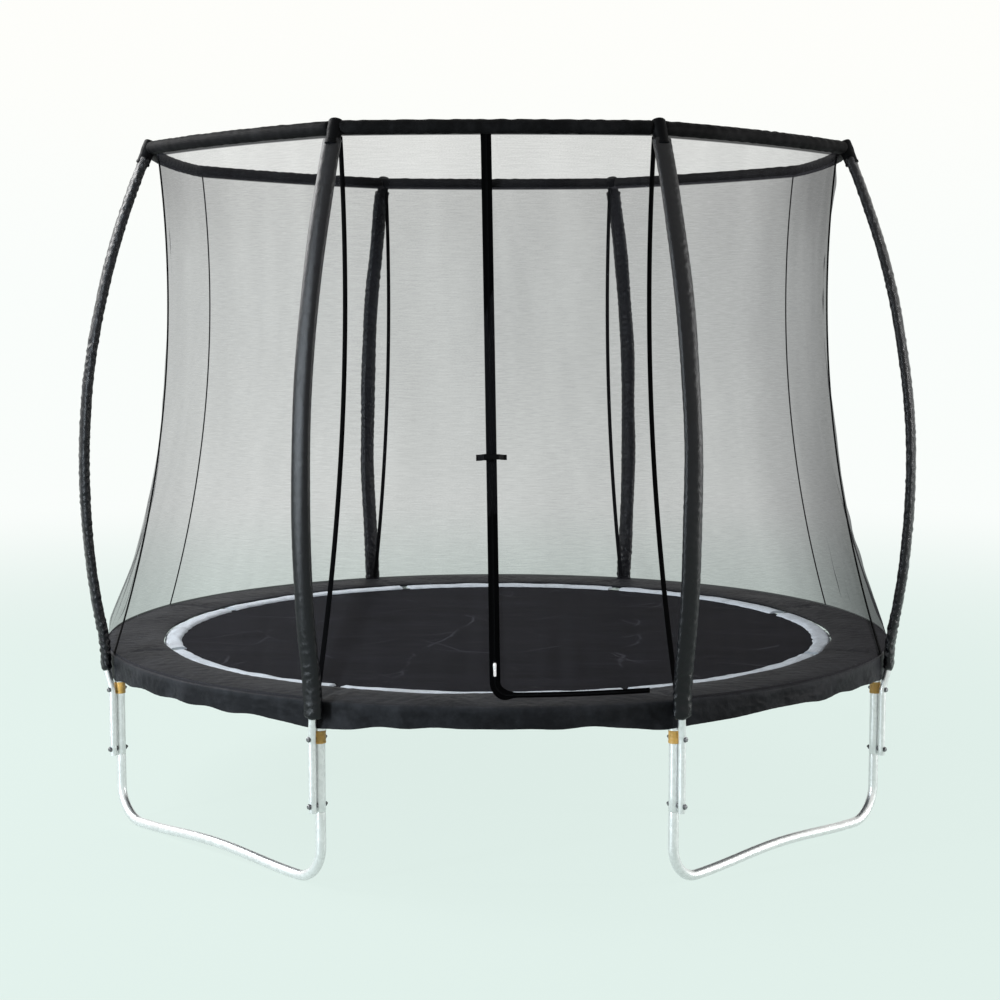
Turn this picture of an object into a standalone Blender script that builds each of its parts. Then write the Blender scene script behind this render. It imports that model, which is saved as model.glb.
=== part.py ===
"""Round garden trampoline with a curved-pole safety enclosure, built from its separate pieces.

Metres, +Z up. The floor is z = 0 and the origin lies on it, under the middle of the mat.
Angles run from +X towards +Y, and the zipped doorway faces -Y.
"""

import math

import bmesh
import bpy
import numpy as np
from mathutils import Matrix, Vector

# Ring layout: corner k stands at (k + 0.5) * 360 / CORNER_COUNT degrees
CORNER_COUNT = 8
POLE_CORNERS = {
    "left": 4,
    "front_left": 5,
    "front_right": 6,
    "right": 7,
    "rear_right": 9,
    "rear_left": 10,
}
LEG_PAIRS = {"left": 4, "right": 6, "rear": 9}
NET_SPANS = {
    "front_left": (4, 1),
    "front": (5, 1),
    "front_right": (6, 1),
    "right_rear": (7, 2),
    "rear": (9, 1),
    "left_rear": (10, 2),
}

# Base frame
FRAME_RADIUS = 1.502
RAIL_DIAMETER = 0.038
RAIL_HEIGHT = 0.590
SPIGOT_LENGTH = 0.055
SOCKET_WALL = 0.004
SOCKET_DROP = 0.049
SOCKET_STOP_GAP = 0.0073
FIT_GAP = 0.0005

# Legs
LEG_DIAMETER = 0.034
LEG_WALL = 0.005
LEG_JOINT_HEIGHT = 0.252
LEG_BEND_RADIUS = 0.120
LEG_BAR_ARCH = 0.018
FOOT_FLAT_DEPTH = 0.0012
COLLAR_HEIGHT = 0.042
COLLAR_WALL = 0.002

# Poles, their padded sleeves and the bolts at their feet
POLE_DIAMETER = 0.0255
POLE_BOW = 0.064
POLE_BOW_HEIGHT = 1.272
POLE_KINK_RISE = 0.0566
POLE_BEND_LENGTH = 0.070
POLE_FOOT_GAP = 0.0035
POLE_JOG_DROP = 0.053
SLEEVE_WIDTH = 0.066
SLEEVE_DEPTH = 0.036
SLEEVE_GAP = 0.0075
BOLT_RISE = 0.023
BOLT_SHANK_DIAMETER = 0.008
BOLT_HEAD_DIAMETER = 0.016
BOLT_HEAD_THICKNESS = 0.006
SPACER_DIAMETER = 0.018

# Top ring
TOP_RING_RADIUS = 1.358
TOP_RING_HEIGHT = 2.461
TOP_RAIL_DIAMETER = 0.046
TOP_RAIL_BOW = 0.041
CAP_DIAMETER = 0.052
CAP_SKIRT = 0.065
CAP_CROWN = 0.026
POLE_STOP = 0.030

# Jumping mat, springs and spring pad
SPRING_COUNT = 48
SPRING_LENGTH = 0.165
SPRING_DIAMETER = 0.016
HEM_WIRE_WIDTH = 0.008
BAND_WIDTH = 0.060
BAND_THICKNESS = 0.006
BAND_PROUD = 0.001
MAT_THICKNESS = 0.004
MAT_RISE = 0.002
PAD_OVERLAP = 0.010
PAD_GAP = 0.0008
PAD_EDGE_THICKNESS = 0.007
PAD_CROWN = 0.024
PAD_SEAM_DIP = 0.005
PAD_SEAM_REACH = 0.048
SKIRT_GAP = 0.001
SKIRT_THICKNESS = 0.0025
SKIRT_LENGTH = 0.058
SKIRT_POLE_DROP = 0.022
SKIRT_DROP_REACH = 0.192
SKIRT_WAVE = 0.005
SKIRT_WAVE_COUNT = 16

# Enclosure net and its zipped door flap
NET_THICKNESS = 0.002
NET_SETBACK = 0.006
NET_TOP_RADIUS = 1.328
NET_TOP_DROP = 0.001
NET_WAIST = 0.100
NET_TOP_BOW = 0.041
NET_MIDDLE_BOW = 0.020
NET_GAP = 0.0015
ZIP_TOP_X = -0.036
ZIP_FOOT_X = -0.006
ZIP_FOOT_HEIGHT = 0.660
ZIP_BEND_RADIUS = 0.040
DOOR_REACH_X = 0.480
DOOR_TOP_WIDTH = 0.030
DOOR_TOP_DROP = 0.035
DOOR_SLIT = 0.0015
DOOR_AXIS_STANDOFF = 0.004

# Zip slider and its pull
SLIDER_HEIGHT = 0.745
SLIDER_WIDTH = 0.012
SLIDER_LENGTH = 0.024
SLIDER_THICKNESS = 0.005
SLIDER_STANDOFF = 0.0045
BRIDGE_WIDTH = 0.0035
BRIDGE_LENGTH = 0.016
BRIDGE_GAP = 0.003
BRIDGE_THICKNESS = 0.002
PULL_WIDTH = 0.011
PULL_LENGTH = 0.034
PULL_THICKNESS = 0.0016
PULL_CROSSBAR = 0.0022
PULL_WINDOW_LENGTH = 0.009
PULL_WINDOW_WIDTH = 0.006

# Buckle that bridges the zip
BUCKLE_HEIGHT = 1.400
BUCKLE_HALF_LENGTH = 0.050
BUCKLE_CLEARANCE = 0.0035
BUCKLE_STRAP_WIDTH = 0.018
BUCKLE_SOCKET_WIDTH = 0.022
BUCKLE_WALL = 0.002
BUCKLE_TONGUE_THICKNESS = 0.003
BUCKLE_TONGUE_REACH = 0.020
BUCKLE_TIP_GAP = 0.003
BUCKLE_RAMP = 0.020
BUCKLE_FOOT = 0.008

# Mesh fineness; the sleeve starts at a station of the pole's jog
SLEEVE_STATION = 4
RAIL_SIDES = 2
LEG_SIDES = 2
SLEEVE_SIDES = 8
TURNED_STEPS = 10
RING_STEPS = 48
PAD_STEPS = 64
NET_COLUMNS = 6
NET_ROWS = 10

# Sizes that follow from the ones above
CORNER_ANGLE = 2 * math.pi / CORNER_COUNT
HALF_CORNER = CORNER_ANGLE / 2
BAND_OUTER = FRAME_RADIUS - RAIL_DIAMETER / 2 - SPRING_LENGTH - HEM_WIRE_WIDTH
MAT_RADIUS = BAND_OUTER - BAND_WIDTH
MAT_TOP = RAIL_HEIGHT + RAIL_DIAMETER / 2 + MAT_RISE
PAD_UNDER = MAT_TOP + BAND_PROUD + PAD_GAP
PAD_INNER = BAND_OUTER - PAD_OVERLAP
SOCKET_DIAMETER = LEG_DIAMETER + 2 * SOCKET_WALL
SPIGOT_DIAMETER = LEG_DIAMETER - 2 * LEG_WALL
SOCKET_MOUTH = RAIL_HEIGHT - RAIL_DIAMETER / 2 - SOCKET_DROP
UPRIGHT_TOP = RAIL_HEIGHT - RAIL_DIAMETER / 2 - SOCKET_STOP_GAP
COLLAR_OUTER = LEG_DIAMETER / 2 + FIT_GAP + COLLAR_WALL
SKIRT_INNER = FRAME_RADIUS + max(SOCKET_DIAMETER / 2, COLLAR_OUTER, RAIL_DIAMETER / 2) + SKIRT_GAP
PAD_OUTER = SKIRT_INNER + SKIRT_THICKNESS
SKIRT_BOTTOM = PAD_UNDER - SKIRT_LENGTH
POLE_RADIUS = PAD_OUTER + SLEEVE_GAP + SLEEVE_DEPTH / 2
POLE_JOG_HEIGHT = SKIRT_BOTTOM - SKIRT_POLE_DROP - POLE_JOG_DROP
POLE_KINK_HEIGHT = PAD_UNDER + POLE_KINK_RISE
POLE_FOOT_OFFSET = (LEG_DIAMETER + POLE_DIAMETER) / 2 + POLE_FOOT_GAP
BOLT_HEIGHT = LEG_JOINT_HEIGHT + BOLT_RISE
NET_BOTTOM_RADIUS = PAD_OUTER - NET_SETBACK
SLIDER_FACE = SLIDER_STANDOFF + SLIDER_THICKNESS
BUCKLE_STANDOFF = SLIDER_FACE + BRIDGE_GAP + BRIDGE_THICKNESS + BUCKLE_CLEARANCE
NET_TOP_HEIGHT = TOP_RING_HEIGHT - TOP_RAIL_DIAMETER / 2 - NET_TOP_DROP

FINISHES = {
    "galvanised_steel": ((0.62, 0.64, 0.63), 0.32, 1.0),
    "amber_plastic": ((0.75, 0.42, 0.12), 0.45, 0.0),
    "sleeve_fabric": ((0.020, 0.022, 0.030), 0.45, 0.0),
    "black_cover": ((0.012, 0.012, 0.014), 0.55, 0.0),
    "net_mesh": ((0.06, 0.06, 0.065), 0.80, 0.0),
    "mat_fabric": ((0.022, 0.021, 0.027), 0.70, 0.0),
    "white_webbing": ((0.72, 0.76, 0.80), 0.65, 0.0),
    "pad_vinyl": ((0.045, 0.046, 0.055), 0.50, 0.0),
    "black_plastic": ((0.010, 0.010, 0.012), 0.40, 0.0),
    "zip_metal": ((0.75, 0.76, 0.78), 0.28, 1.0),
}


def clear_scene():
    """Remove every object that the file starts with."""
    for old in list(bpy.data.objects):
        bpy.data.objects.remove(old, do_unlink=True)


def new_collection(name):
    """A collection linked to the scene."""
    collection = bpy.data.collections.new(name)
    bpy.context.scene.collection.children.link(collection)
    return collection


def principled(name, colour, roughness, metallic):
    """A Principled BSDF material."""
    material = bpy.data.materials.new(name)
    material.use_nodes = True
    shader = material.node_tree.nodes["Principled BSDF"]
    shader.inputs["Base Color"].default_value = (*colour, 1.0)
    shader.inputs["Roughness"].default_value = roughness
    shader.inputs["Metallic"].default_value = metallic
    return material


clear_scene()
PARTS = new_collection("trampoline")
CUTTERS = new_collection("trampoline_cutters")
MATERIALS = {name: principled(name, *values) for name, values in FINISHES.items()}


def corner_direction(corner):
    """Angle in radians of a corner of the ring."""
    return (corner + 0.5) * CORNER_ANGLE


def polar(radius, angle, height):
    """Point at a radius, an angle in radians and a height."""
    return Vector((radius * math.cos(angle), radius * math.sin(angle), height))


def add_object(name, data, finish=None):
    """Link a new object to the parts, or to the scratch pieces when it has no finish."""
    piece = bpy.data.objects.new(name, data)
    (PARTS if finish else CUTTERS).objects.link(piece)
    if finish:
        data.materials.clear()
        data.materials.append(MATERIALS[finish])
    else:
        piece.hide_render = True
        piece.display_type = "WIRE"
    return piece


def smooth(mesh, angle=math.radians(35)):
    """Shade a mesh smooth up to an edge angle."""
    mesh.shade_smooth()
    mesh.set_sharp_from_angle(angle=angle)
    return mesh


def pair_direction(corner):
    """Angle in radians at which the leg pair of a pole corner faces outwards."""
    first = max(start for start in LEG_PAIRS.values() if start <= corner)
    return corner_direction(first + 0.5)


def copies(name, mesh, finish, angles):
    """One object for each angle, all sharing a mesh that was modelled at angle zero."""
    for where, angle in angles.items():
        piece = add_object(f"{name}_{where}", mesh, finish)
        piece.rotation_euler.z = angle


def copies_on_legs(name, mesh, finish):
    """One object at each leg upright, turned the way its leg pair faces, sharing one mesh."""
    for where, corner in POLE_CORNERS.items():
        piece = add_object(f"{name}_{where}", mesh, finish)
        piece.location = polar(FRAME_RADIUS, corner_direction(corner), 0)
        piece.rotation_euler.z = pair_direction(corner)


def poles_by_side():
    """For each side of a leg pair, the angles of the poles that stand on it."""
    found = {1: {}, -1: {}}
    for where, corner in POLE_CORNERS.items():
        angle = corner_direction(corner)
        found[1 if pair_direction(corner) > angle else -1][where] = angle
    return found


def tube(name, points, diameter, sides):
    """Closed round tube along a run of points, as a welded mesh object."""
    curve = bpy.data.curves.new(name, "CURVE")
    curve.dimensions = "3D"
    curve.bevel_depth = diameter / 2
    curve.bevel_resolution = sides
    curve.use_fill_caps = True
    spline = curve.splines.new("POLY")
    spline.points.add(len(points) - 1)
    spline.points.foreach_set("co", np.c_[np.array(points), np.ones(len(points))].ravel())
    guide = add_object(f"{name}_line", curve)
    mesh = final_mesh(guide)
    bpy.data.objects.remove(guide)
    shell = bmesh.new()
    shell.from_mesh(mesh)
    bmesh.ops.remove_doubles(shell, verts=shell.verts, dist=1e-5)
    bmesh.ops.recalc_face_normals(shell, faces=shell.faces)
    shell.to_mesh(mesh)
    shell.free()
    return add_object(name, mesh)


def rod(name, start, end, diameter, steps=TURNED_STEPS):
    """Closed cylinder between two points."""
    start, end = Vector(start), Vector(end)
    shape = bmesh.new()
    turn = (end - start).to_track_quat("Z", "Y").to_matrix().to_4x4()
    bmesh.ops.create_cone(
        shape,
        cap_ends=True,
        segments=steps,
        radius1=diameter / 2,
        radius2=diameter / 2,
        depth=(end - start).length,
        matrix=Matrix.Translation((start + end) / 2) @ turn,
    )
    mesh = bpy.data.meshes.new(name)
    shape.to_mesh(mesh)
    shape.free()
    return add_object(name, mesh)


def bore(start, end, diameter):
    """Cutter that clears a round piece of a diameter, whichever way either of them is turned."""
    return rod("bore", start, end, (diameter + 2 * FIT_GAP) / math.cos(math.pi / TURNED_STEPS))


def box(name, low, high):
    """Closed box between two opposite corners."""
    low, high = Vector(low), Vector(high)
    shape = bmesh.new()
    sides = Matrix.Diagonal((*(high - low), 1.0))
    bmesh.ops.create_cube(shape, size=1.0, matrix=Matrix.Translation((low + high) / 2) @ sides)
    mesh = bpy.data.meshes.new(name)
    shape.to_mesh(mesh)
    shape.free()
    return add_object(name, mesh)


def prism(name, outline, depth):
    """Closed prism: an outline of (x, z) points carried along Y from depth[0] to depth[1]."""
    shape = bmesh.new()
    face = shape.faces.new([shape.verts.new((x, depth[0], z)) for x, z in outline])
    moved = bmesh.ops.extrude_face_region(shape, geom=[face])["geom"]
    corners = [item for item in moved if isinstance(item, bmesh.types.BMVert)]
    bmesh.ops.translate(shape, verts=corners, vec=(0, depth[1] - depth[0], 0))
    bmesh.ops.recalc_face_normals(shape, faces=shape.faces)
    mesh = bpy.data.meshes.new(name)
    shape.to_mesh(mesh)
    shape.free()
    return add_object(name, mesh)


def turned(name, profile, steps=TURNED_STEPS):
    """Mesh of an open (radius, height) profile turned round Z, listed down its outer side."""
    mesh = bpy.data.meshes.new(name)
    edges = [(i, i + 1) for i in range(len(profile) - 1)]
    mesh.from_pydata([(r, 0.0, z) for r, z in profile], edges, [])
    piece = add_object(f"{name}_profile", mesh)
    screw = piece.modifiers.new("Turn", "SCREW")
    screw.steps = screw.render_steps = steps
    screw.use_merge_vertices = True
    screw.merge_threshold = 1e-5
    result = final_mesh(piece)
    bpy.data.objects.remove(piece)
    return result


def turned_ring(name, profile, steps):
    """Mesh of a closed (radius, height) profile turned round Z."""
    return turned(name, [*profile, profile[0]], steps)


def loft(name, rings, closed):
    """Mesh of quads through rings of points; rows close on themselves, and columns if asked."""
    rings = np.asarray(rings, float)
    rows, columns, _ = rings.shape
    index = np.arange(rows * columns).reshape(rows, columns)
    upper = np.roll(index, -1, axis=0)
    if not closed:
        index, upper = index[:-1], upper[:-1]
    following, upper_following = np.roll(index, -1, axis=1), np.roll(upper, -1, axis=1)
    faces = np.stack([index, following, upper_following, upper], axis=-1).reshape(-1, 4)
    mesh = bpy.data.meshes.new(name)
    mesh.from_pydata(rings.reshape(-1, 3).tolist(), [], faces.tolist())
    mesh.update()
    return mesh


def sheet(name, grid):
    """Mesh of quads through an open grid of points."""
    rows, columns, _ = grid.shape
    index = np.arange(rows * columns).reshape(rows, columns)
    faces = np.stack([index[:-1, :-1], index[:-1, 1:], index[1:, 1:], index[1:, :-1]], axis=-1)
    mesh = bpy.data.meshes.new(name)
    mesh.from_pydata(grid.reshape(-1, 3).tolist(), [], faces.reshape(-1, 4).tolist())
    mesh.update()
    return mesh


def boolean(piece, tool, operation="DIFFERENCE"):
    """Add a Boolean modifier."""
    modifier = piece.modifiers.new(operation.title(), "BOOLEAN")
    modifier.operation = operation
    modifier.object = tool
    modifier.solver = "EXACT"
    return modifier


def final_mesh(piece):
    """The piece's mesh with its modifiers applied."""
    bpy.context.view_layer.update()
    graph = bpy.context.evaluated_depsgraph_get()
    return bpy.data.meshes.new_from_object(piece.evaluated_get(graph))


def assembled(name, base, joined=(), cut=()):
    """Mesh of a base with pieces joined to it and others cut from it; all of them are used up."""
    for tool in joined:
        boolean(base, tool, "UNION")
    for tool in cut:
        boolean(base, tool, "DIFFERENCE")
    mesh = final_mesh(base)
    mesh.name = name
    for used in (base, *joined, *cut):
        bpy.data.objects.remove(used)
    return smooth(mesh)


def axis_empty(name, position, direction):
    """Empty on a joint's axis, with its Z along the axis."""
    empty = bpy.data.objects.new(name, None)
    PARTS.objects.link(empty)
    turn = Vector(direction).to_track_quat("Z", "Y").to_matrix().to_4x4()
    empty.matrix_world = Matrix.Translation(position) @ turn
    empty.empty_display_size = 0.05
    bpy.context.view_layer.update()
    return empty


def carry(parent, *pieces):
    """Parent pieces to an empty without moving them."""
    for piece in pieces:
        piece.parent = parent
        piece.matrix_parent_inverse = parent.matrix_world.inverted()


# Base frame and legs


def frame_rails():
    """Rails of the round base frame, each with one leg socket and a spigot into the next rail."""
    corners = sorted(POLE_CORNERS.items(), key=lambda item: item[1])
    for i, (where, corner) in enumerate(corners):
        before = corners[i - 1][1] - (CORNER_COUNT if i == 0 else 0)
        after = corners[(i + 1) % len(corners)][1] + (CORNER_COUNT if i + 1 == len(corners) else 0)
        start, end = corner_direction((before + corner) / 2), corner_direction((corner + after) / 2)
        steps = 4 * (after - before)
        ahead = Vector((-math.sin(end), math.cos(end), 0))
        onward = Vector((-math.sin(start), math.cos(start), 0))
        line = [polar(FRAME_RADIUS, a, RAIL_HEIGHT) for a in np.linspace(start, end, steps + 1)]
        stub = SPIGOT_LENGTH / 4
        line[-1:] = [line[-1] - ahead * stub, line[-1] - ahead * FIT_GAP]
        line[:1] = [line[0], line[0] + onward * stub]
        base = tube(f"frame_rail_{where}", line, RAIL_DIAMETER, RAIL_SIDES)
        root, tip = line[-1] - ahead * SPIGOT_LENGTH / 3, line[-1] + ahead * SPIGOT_LENGTH
        spigot = rod("spigot", root, tip, SPIGOT_DIAMETER)
        bottom = line[0] + onward * (SPIGOT_LENGTH + 4 * FIT_GAP)
        end_bore = bore(line[0] - onward * SPIGOT_LENGTH, bottom, SPIGOT_DIAMETER)
        foot = polar(FRAME_RADIUS, corner_direction(corner), 0)
        low, high = (foot + Vector((0, 0, z)) for z in (SOCKET_MOUTH, RAIL_HEIGHT))
        socket = rod("socket", low, high, SOCKET_DIAMETER)
        low, high = (foot + Vector((0, 0, z)) for z in (SOCKET_MOUTH - SOCKET_DROP, UPRIGHT_TOP + FIT_GAP))
        mouth = bore(low, high, LEG_DIAMETER)
        mesh = assembled(f"frame_rail_{where}", base, (spigot, socket), (end_bore, mouth))
        add_object(f"frame_rail_{where}", mesh, "galvanised_steel")


def leg_uprights():
    """Straight upper leg tubes, with a spigot at the foot and a cross hole for the pole bolt."""
    tube_r, spigot_r = LEG_DIAMETER / 2, SPIGOT_DIAMETER / 2
    shoulder = LEG_JOINT_HEIGHT + FIT_GAP
    profile = [
        (0, UPRIGHT_TOP),
        (tube_r, UPRIGHT_TOP),
        (tube_r, shoulder),
        (spigot_r, shoulder),
        (spigot_r, LEG_JOINT_HEIGHT - SPIGOT_LENGTH),
        (0, LEG_JOINT_HEIGHT - SPIGOT_LENGTH),
    ]
    upright = add_object("upright", turned("leg_upright", profile))
    mesh = assembled("leg_upright", upright, cut=(bolt_hole((0, 0), 0),))
    copies_on_legs("leg_upright", mesh, "galvanised_steel")


def bolt_hole(place, angle):
    """Cutter for the pole bolt's shank through a tube at a place, along an angle."""
    reach = polar(LEG_DIAMETER, angle, 0)
    middle = Vector((*place, BOLT_HEIGHT))
    return rod("bolt_hole", middle - reach, middle + reach, BOLT_SHANK_DIAMETER + 2 * FIT_GAP, 8)


def leg_bases():
    """U-shaped lower legs: two risers, two bends and a floor bar that arches up in the middle."""
    half = FRAME_RADIUS * math.sin(HALF_CORNER)
    plane = FRAME_RADIUS * math.cos(HALF_CORNER)
    low = LEG_DIAMETER / 2 - FOOT_FLAT_DEPTH
    centre = (half - LEG_BEND_RADIUS, low + LEG_BEND_RADIUS)
    turns = np.linspace(0, math.pi / 2, 6)
    bend = [
        (centre[0] + LEG_BEND_RADIUS * math.cos(a), centre[1] - LEG_BEND_RADIUS * math.sin(a))
        for a in turns
    ]
    run = np.linspace(0, 1, 9)[1:-1]
    bar = [
        (centre[0] * (1 - 2 * t), low + LEG_BAR_ARCH * (1 - math.cos(2 * math.pi * t)) / 2)
        for t in run
    ]
    side = [(half, LEG_JOINT_HEIGHT), *bend]
    path = [*side, *bar, *[(-y, z) for y, z in reversed(side)]]
    base = tube("leg_base", [(plane, y, z) for y, z in path], LEG_DIAMETER, LEG_SIDES)
    bores = [
        bore((plane, y, LEG_JOINT_HEIGHT - SPIGOT_LENGTH - 2 * FIT_GAP),
             (plane, y, LEG_JOINT_HEIGHT + SPIGOT_LENGTH), SPIGOT_DIAMETER)
        for y in (half, -half)
    ]
    reach = np.array([LEG_DIAMETER, half + LEG_DIAMETER])
    floor = box("floor", (*((plane, 0) - reach), -LEG_DIAMETER), (*((plane, 0) + reach), 0))
    mesh = assembled("leg_base", base, cut=(*bores, floor))
    middles = {where: corner_direction(corner + 0.5) for where, corner in LEG_PAIRS.items()}
    copies("leg_base", mesh, "galvanised_steel", middles)


def leg_collars():
    """Plastic collars round the leg uprights, under the sockets of the frame."""
    top = SOCKET_MOUTH - FIT_GAP
    bottom = top - COLLAR_HEIGHT
    hole = (LEG_DIAMETER / 2 + FIT_GAP) / math.cos(math.pi / TURNED_STEPS)
    outside = hole + COLLAR_WALL
    section = [(hole, top), (outside, top), (outside, bottom), (hole, bottom)]
    mesh = turned_ring("leg_collar", section, TURNED_STEPS)
    copies_on_legs("leg_collar", smooth(mesh), "amber_plastic")


def pole_bolts():
    """Bolts that tie the poles' feet to the legs, each with its spacer and nut on the shank."""
    shank, head, spacer = BOLT_SHANK_DIAMETER / 2, BOLT_HEAD_DIAMETER / 2, SPACER_DIAMETER / 2
    outside = POLE_FOOT_OFFSET + POLE_DIAMETER / 2 + FIT_GAP
    pole_inside = POLE_FOOT_OFFSET - POLE_DIAMETER / 2 - FIT_GAP
    leg_outside = LEG_DIAMETER / 2 + FIT_GAP
    profile = [
        (0, outside + BOLT_HEAD_THICKNESS),
        (head, outside + BOLT_HEAD_THICKNESS),
        (head, outside),
        (shank, outside),
        (shank, pole_inside),
        (spacer, pole_inside),
        (spacer, leg_outside),
        (shank, leg_outside),
        (shank, -leg_outside),
        (head, -leg_outside),
        (head, -leg_outside - BOLT_HEAD_THICKNESS),
        (0, -leg_outside - BOLT_HEAD_THICKNESS),
    ]
    mesh = smooth(turned("pole_bolt", profile, 6))
    mesh.transform(Matrix.Translation((0, 0, BOLT_HEIGHT)) @ Matrix.Rotation(math.pi / 2, 4, "Y"))
    copies_on_legs("pole_bolt", mesh, "galvanised_steel")


# Poles, sleeves and top ring


def pole_bow(height):
    """Point of the bowed pole at a height: one arc each way from the place where it bows most."""
    apex = POLE_RADIUS + POLE_BOW
    if height > POLE_BOW_HEIGHT:
        rise, reach = TOP_RING_HEIGHT - POLE_BOW_HEIGHT, apex - TOP_RING_RADIUS
    else:
        rise, reach = POLE_BOW_HEIGHT - POLE_KINK_HEIGHT, POLE_BOW
    radius = (rise**2 + reach**2) / (2 * reach)
    fall = radius - math.copysign(math.sqrt(radius**2 - (height - POLE_BOW_HEIGHT) ** 2), radius)
    return np.array([apex - fall, 0, height])


def pole_foot(side):
    """Place (x, y) of a pole's foot, beside the leg upright of a pole modelled at angle zero."""
    foot = polar(POLE_FOOT_OFFSET, side * HALF_CORNER, 0)
    return np.array([FRAME_RADIUS + foot.x, foot.y])


def pole_line(side):
    """Stations up a pole modelled at angle zero, and the direction in which it enters its cap.

    The foot stands beside the leg, the pole then jogs out to clear the pad's skirt, bends, and
    bows outwards up to the top ring.
    """
    kink = pole_bow(POLE_KINK_HEIGHT)
    enter, leave = kink - (0, 0, POLE_BEND_LENGTH), pole_bow(POLE_KINK_HEIGHT + POLE_BEND_LENGTH)
    bend = [
        (1 - t) ** 2 * enter + 2 * t * (1 - t) * kink + t**2 * leave for t in np.linspace(0, 1, 4)
    ]
    corner = pole_bow(TOP_RING_HEIGHT)
    below = pole_bow(TOP_RING_HEIGHT - CAP_SKIRT)
    into_cap = (corner - below) / np.linalg.norm(corner - below)
    mouth = corner - into_cap * (CAP_SKIRT + 2 * FIT_GAP)
    arc = [pole_bow(z) for z in np.linspace(leave[2], mouth[2], 9)[1:-1]]
    foot = np.array([*pole_foot(side), LEG_JOINT_HEIGHT])
    share = np.linspace(0, 1, 5)[:-1, None]
    eased = share**2 * (3 - 2 * share)
    rise = POLE_JOG_HEIGHT + (enter[2] - POLE_JOG_HEIGHT) * share
    jog = np.c_[foot[:2] + (enter[:2] - foot[:2]) * eased, rise]
    return np.array([foot, *jog, *bend, *arc, mouth, corner - into_cap * POLE_STOP]), into_cap


def poles():
    """Bowed steel poles with a cross hole at the foot."""
    for side, angles in poles_by_side().items():
        line = pole_line(side)[0]
        base = tube("pole", line, POLE_DIAMETER, RAIL_SIDES)
        mesh = assembled("pole", base, cut=(bolt_hole(pole_foot(side), side * HALF_CORNER),))
        copies("pole", mesh, "galvanised_steel", angles)


def pole_sleeves():
    """Padded sleeves: flattened tubes that follow the poles from the jog to the cap, with a bore."""
    for side, angles in poles_by_side().items():
        line = pole_line(side)[0]
        step = np.diff(line, axis=0)
        step /= np.linalg.norm(step, axis=1)[:, None]
        line, run = line[SLEEVE_STATION:-1], (step[:-1] + step[1:])[SLEEVE_STATION - 1 :]
        run /= np.linalg.norm(run, axis=1)[:, None]
        outwards = np.cross((0, 1, 0), run)
        outwards /= np.linalg.norm(outwards, axis=1)[:, None]
        along = np.cross(run, outwards)
        turn = 2 * math.pi * np.arange(SLEEVE_SIDES)[:, None] / SLEEVE_SIDES
        hole = (POLE_DIAMETER / 2 + FIT_GAP) / math.cos(math.pi / SLEEVE_SIDES)

        def rings(depth, width):
            across, aside = depth * np.cos(turn), width * np.sin(turn)
            return [p + across * out + aside * way for p, out, way in zip(line, outwards, along)]

        outside, inside = rings(SLEEVE_DEPTH / 2, SLEEVE_WIDTH / 2), rings(hole, hole)
        mesh = smooth(loft("pole_sleeve", [*outside, *reversed(inside)], closed=True))
        copies("pole_sleeve", mesh, "sleeve_fabric", angles)


def bowed_run(start, spans, bow, height, radius, count):
    """Points of a rail over one or more corner spans, bowed outwards from each chord."""
    points = []
    for span in range(spans):
        angles = corner_direction(start + span), corner_direction(start + span + 1)
        ends = [polar(radius, a, height) for a in angles]
        out = polar(1, sum(angles) / 2, 0)
        for t in np.linspace(0, 1, count + 1)[span > 0 :]:
            points.append(ends[0].lerp(ends[1], t) + out * bow * 4 * t * (1 - t))
    return points


def top_rails():
    """Rails of the top ring in their covers, each with the corner cap that holds a pole's end."""
    into_cap = pole_line(1)[1]
    clear = CAP_DIAMETER / 2 + TOP_RAIL_DIAMETER / 2 * math.sin(HALF_CORNER) + 2 * FIT_GAP
    for where, (corner, spans) in NET_SPANS.items():
        line = bowed_run(corner, spans, TOP_RAIL_BOW, TOP_RING_HEIGHT, TOP_RING_RADIUS, 8)
        line[-1] = line[-1] + (line[-2] - line[-1]).normalized() * clear
        base = tube(f"top_rail_{where}", line, TOP_RAIL_DIAMETER, RAIL_SIDES)
        angle = corner_direction(corner)
        axis = polar(into_cap[0], angle, into_cap[2])
        tip = polar(TOP_RING_RADIUS, angle, TOP_RING_HEIGHT)
        cap = rod("cap", tip - axis * CAP_SKIRT, tip + axis * CAP_CROWN, CAP_DIAMETER)
        mouth = bore(tip - axis * 2 * CAP_SKIRT, tip - axis * (POLE_STOP - FIT_GAP), POLE_DIAMETER)
        mesh = assembled(f"top_rail_{where}", base, (cap,), (mouth,))
        add_object(f"top_rail_{where}", mesh, "black_cover")


# Mat, springs and pad


def jumping_mat():
    """Woven jumping mat, the webbing band round its edge and the hem wire with its springs."""
    low = MAT_TOP - MAT_THICKNESS
    disc = [(0, MAT_TOP), (MAT_RADIUS - FIT_GAP, MAT_TOP), (MAT_RADIUS - FIT_GAP, low), (0, low)]
    mat = add_object("jumping_mat", smooth(turned("jumping_mat", disc, RING_STEPS)), "mat_fabric")
    top = MAT_TOP + BAND_PROUD
    under = top - BAND_THICKNESS
    ring = [(MAT_RADIUS, top), (BAND_OUTER, top), (BAND_OUTER, under), (MAT_RADIUS, under)]
    band_mesh = smooth(turned_ring("mat_edge_band", ring, RING_STEPS))
    band = add_object("mat_edge_band", band_mesh, "white_webbing")
    guide = axis_empty("mat_guide", (0, 0, MAT_TOP), (0, 0, 1))
    carry(guide, mat, band, spring_set())


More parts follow.
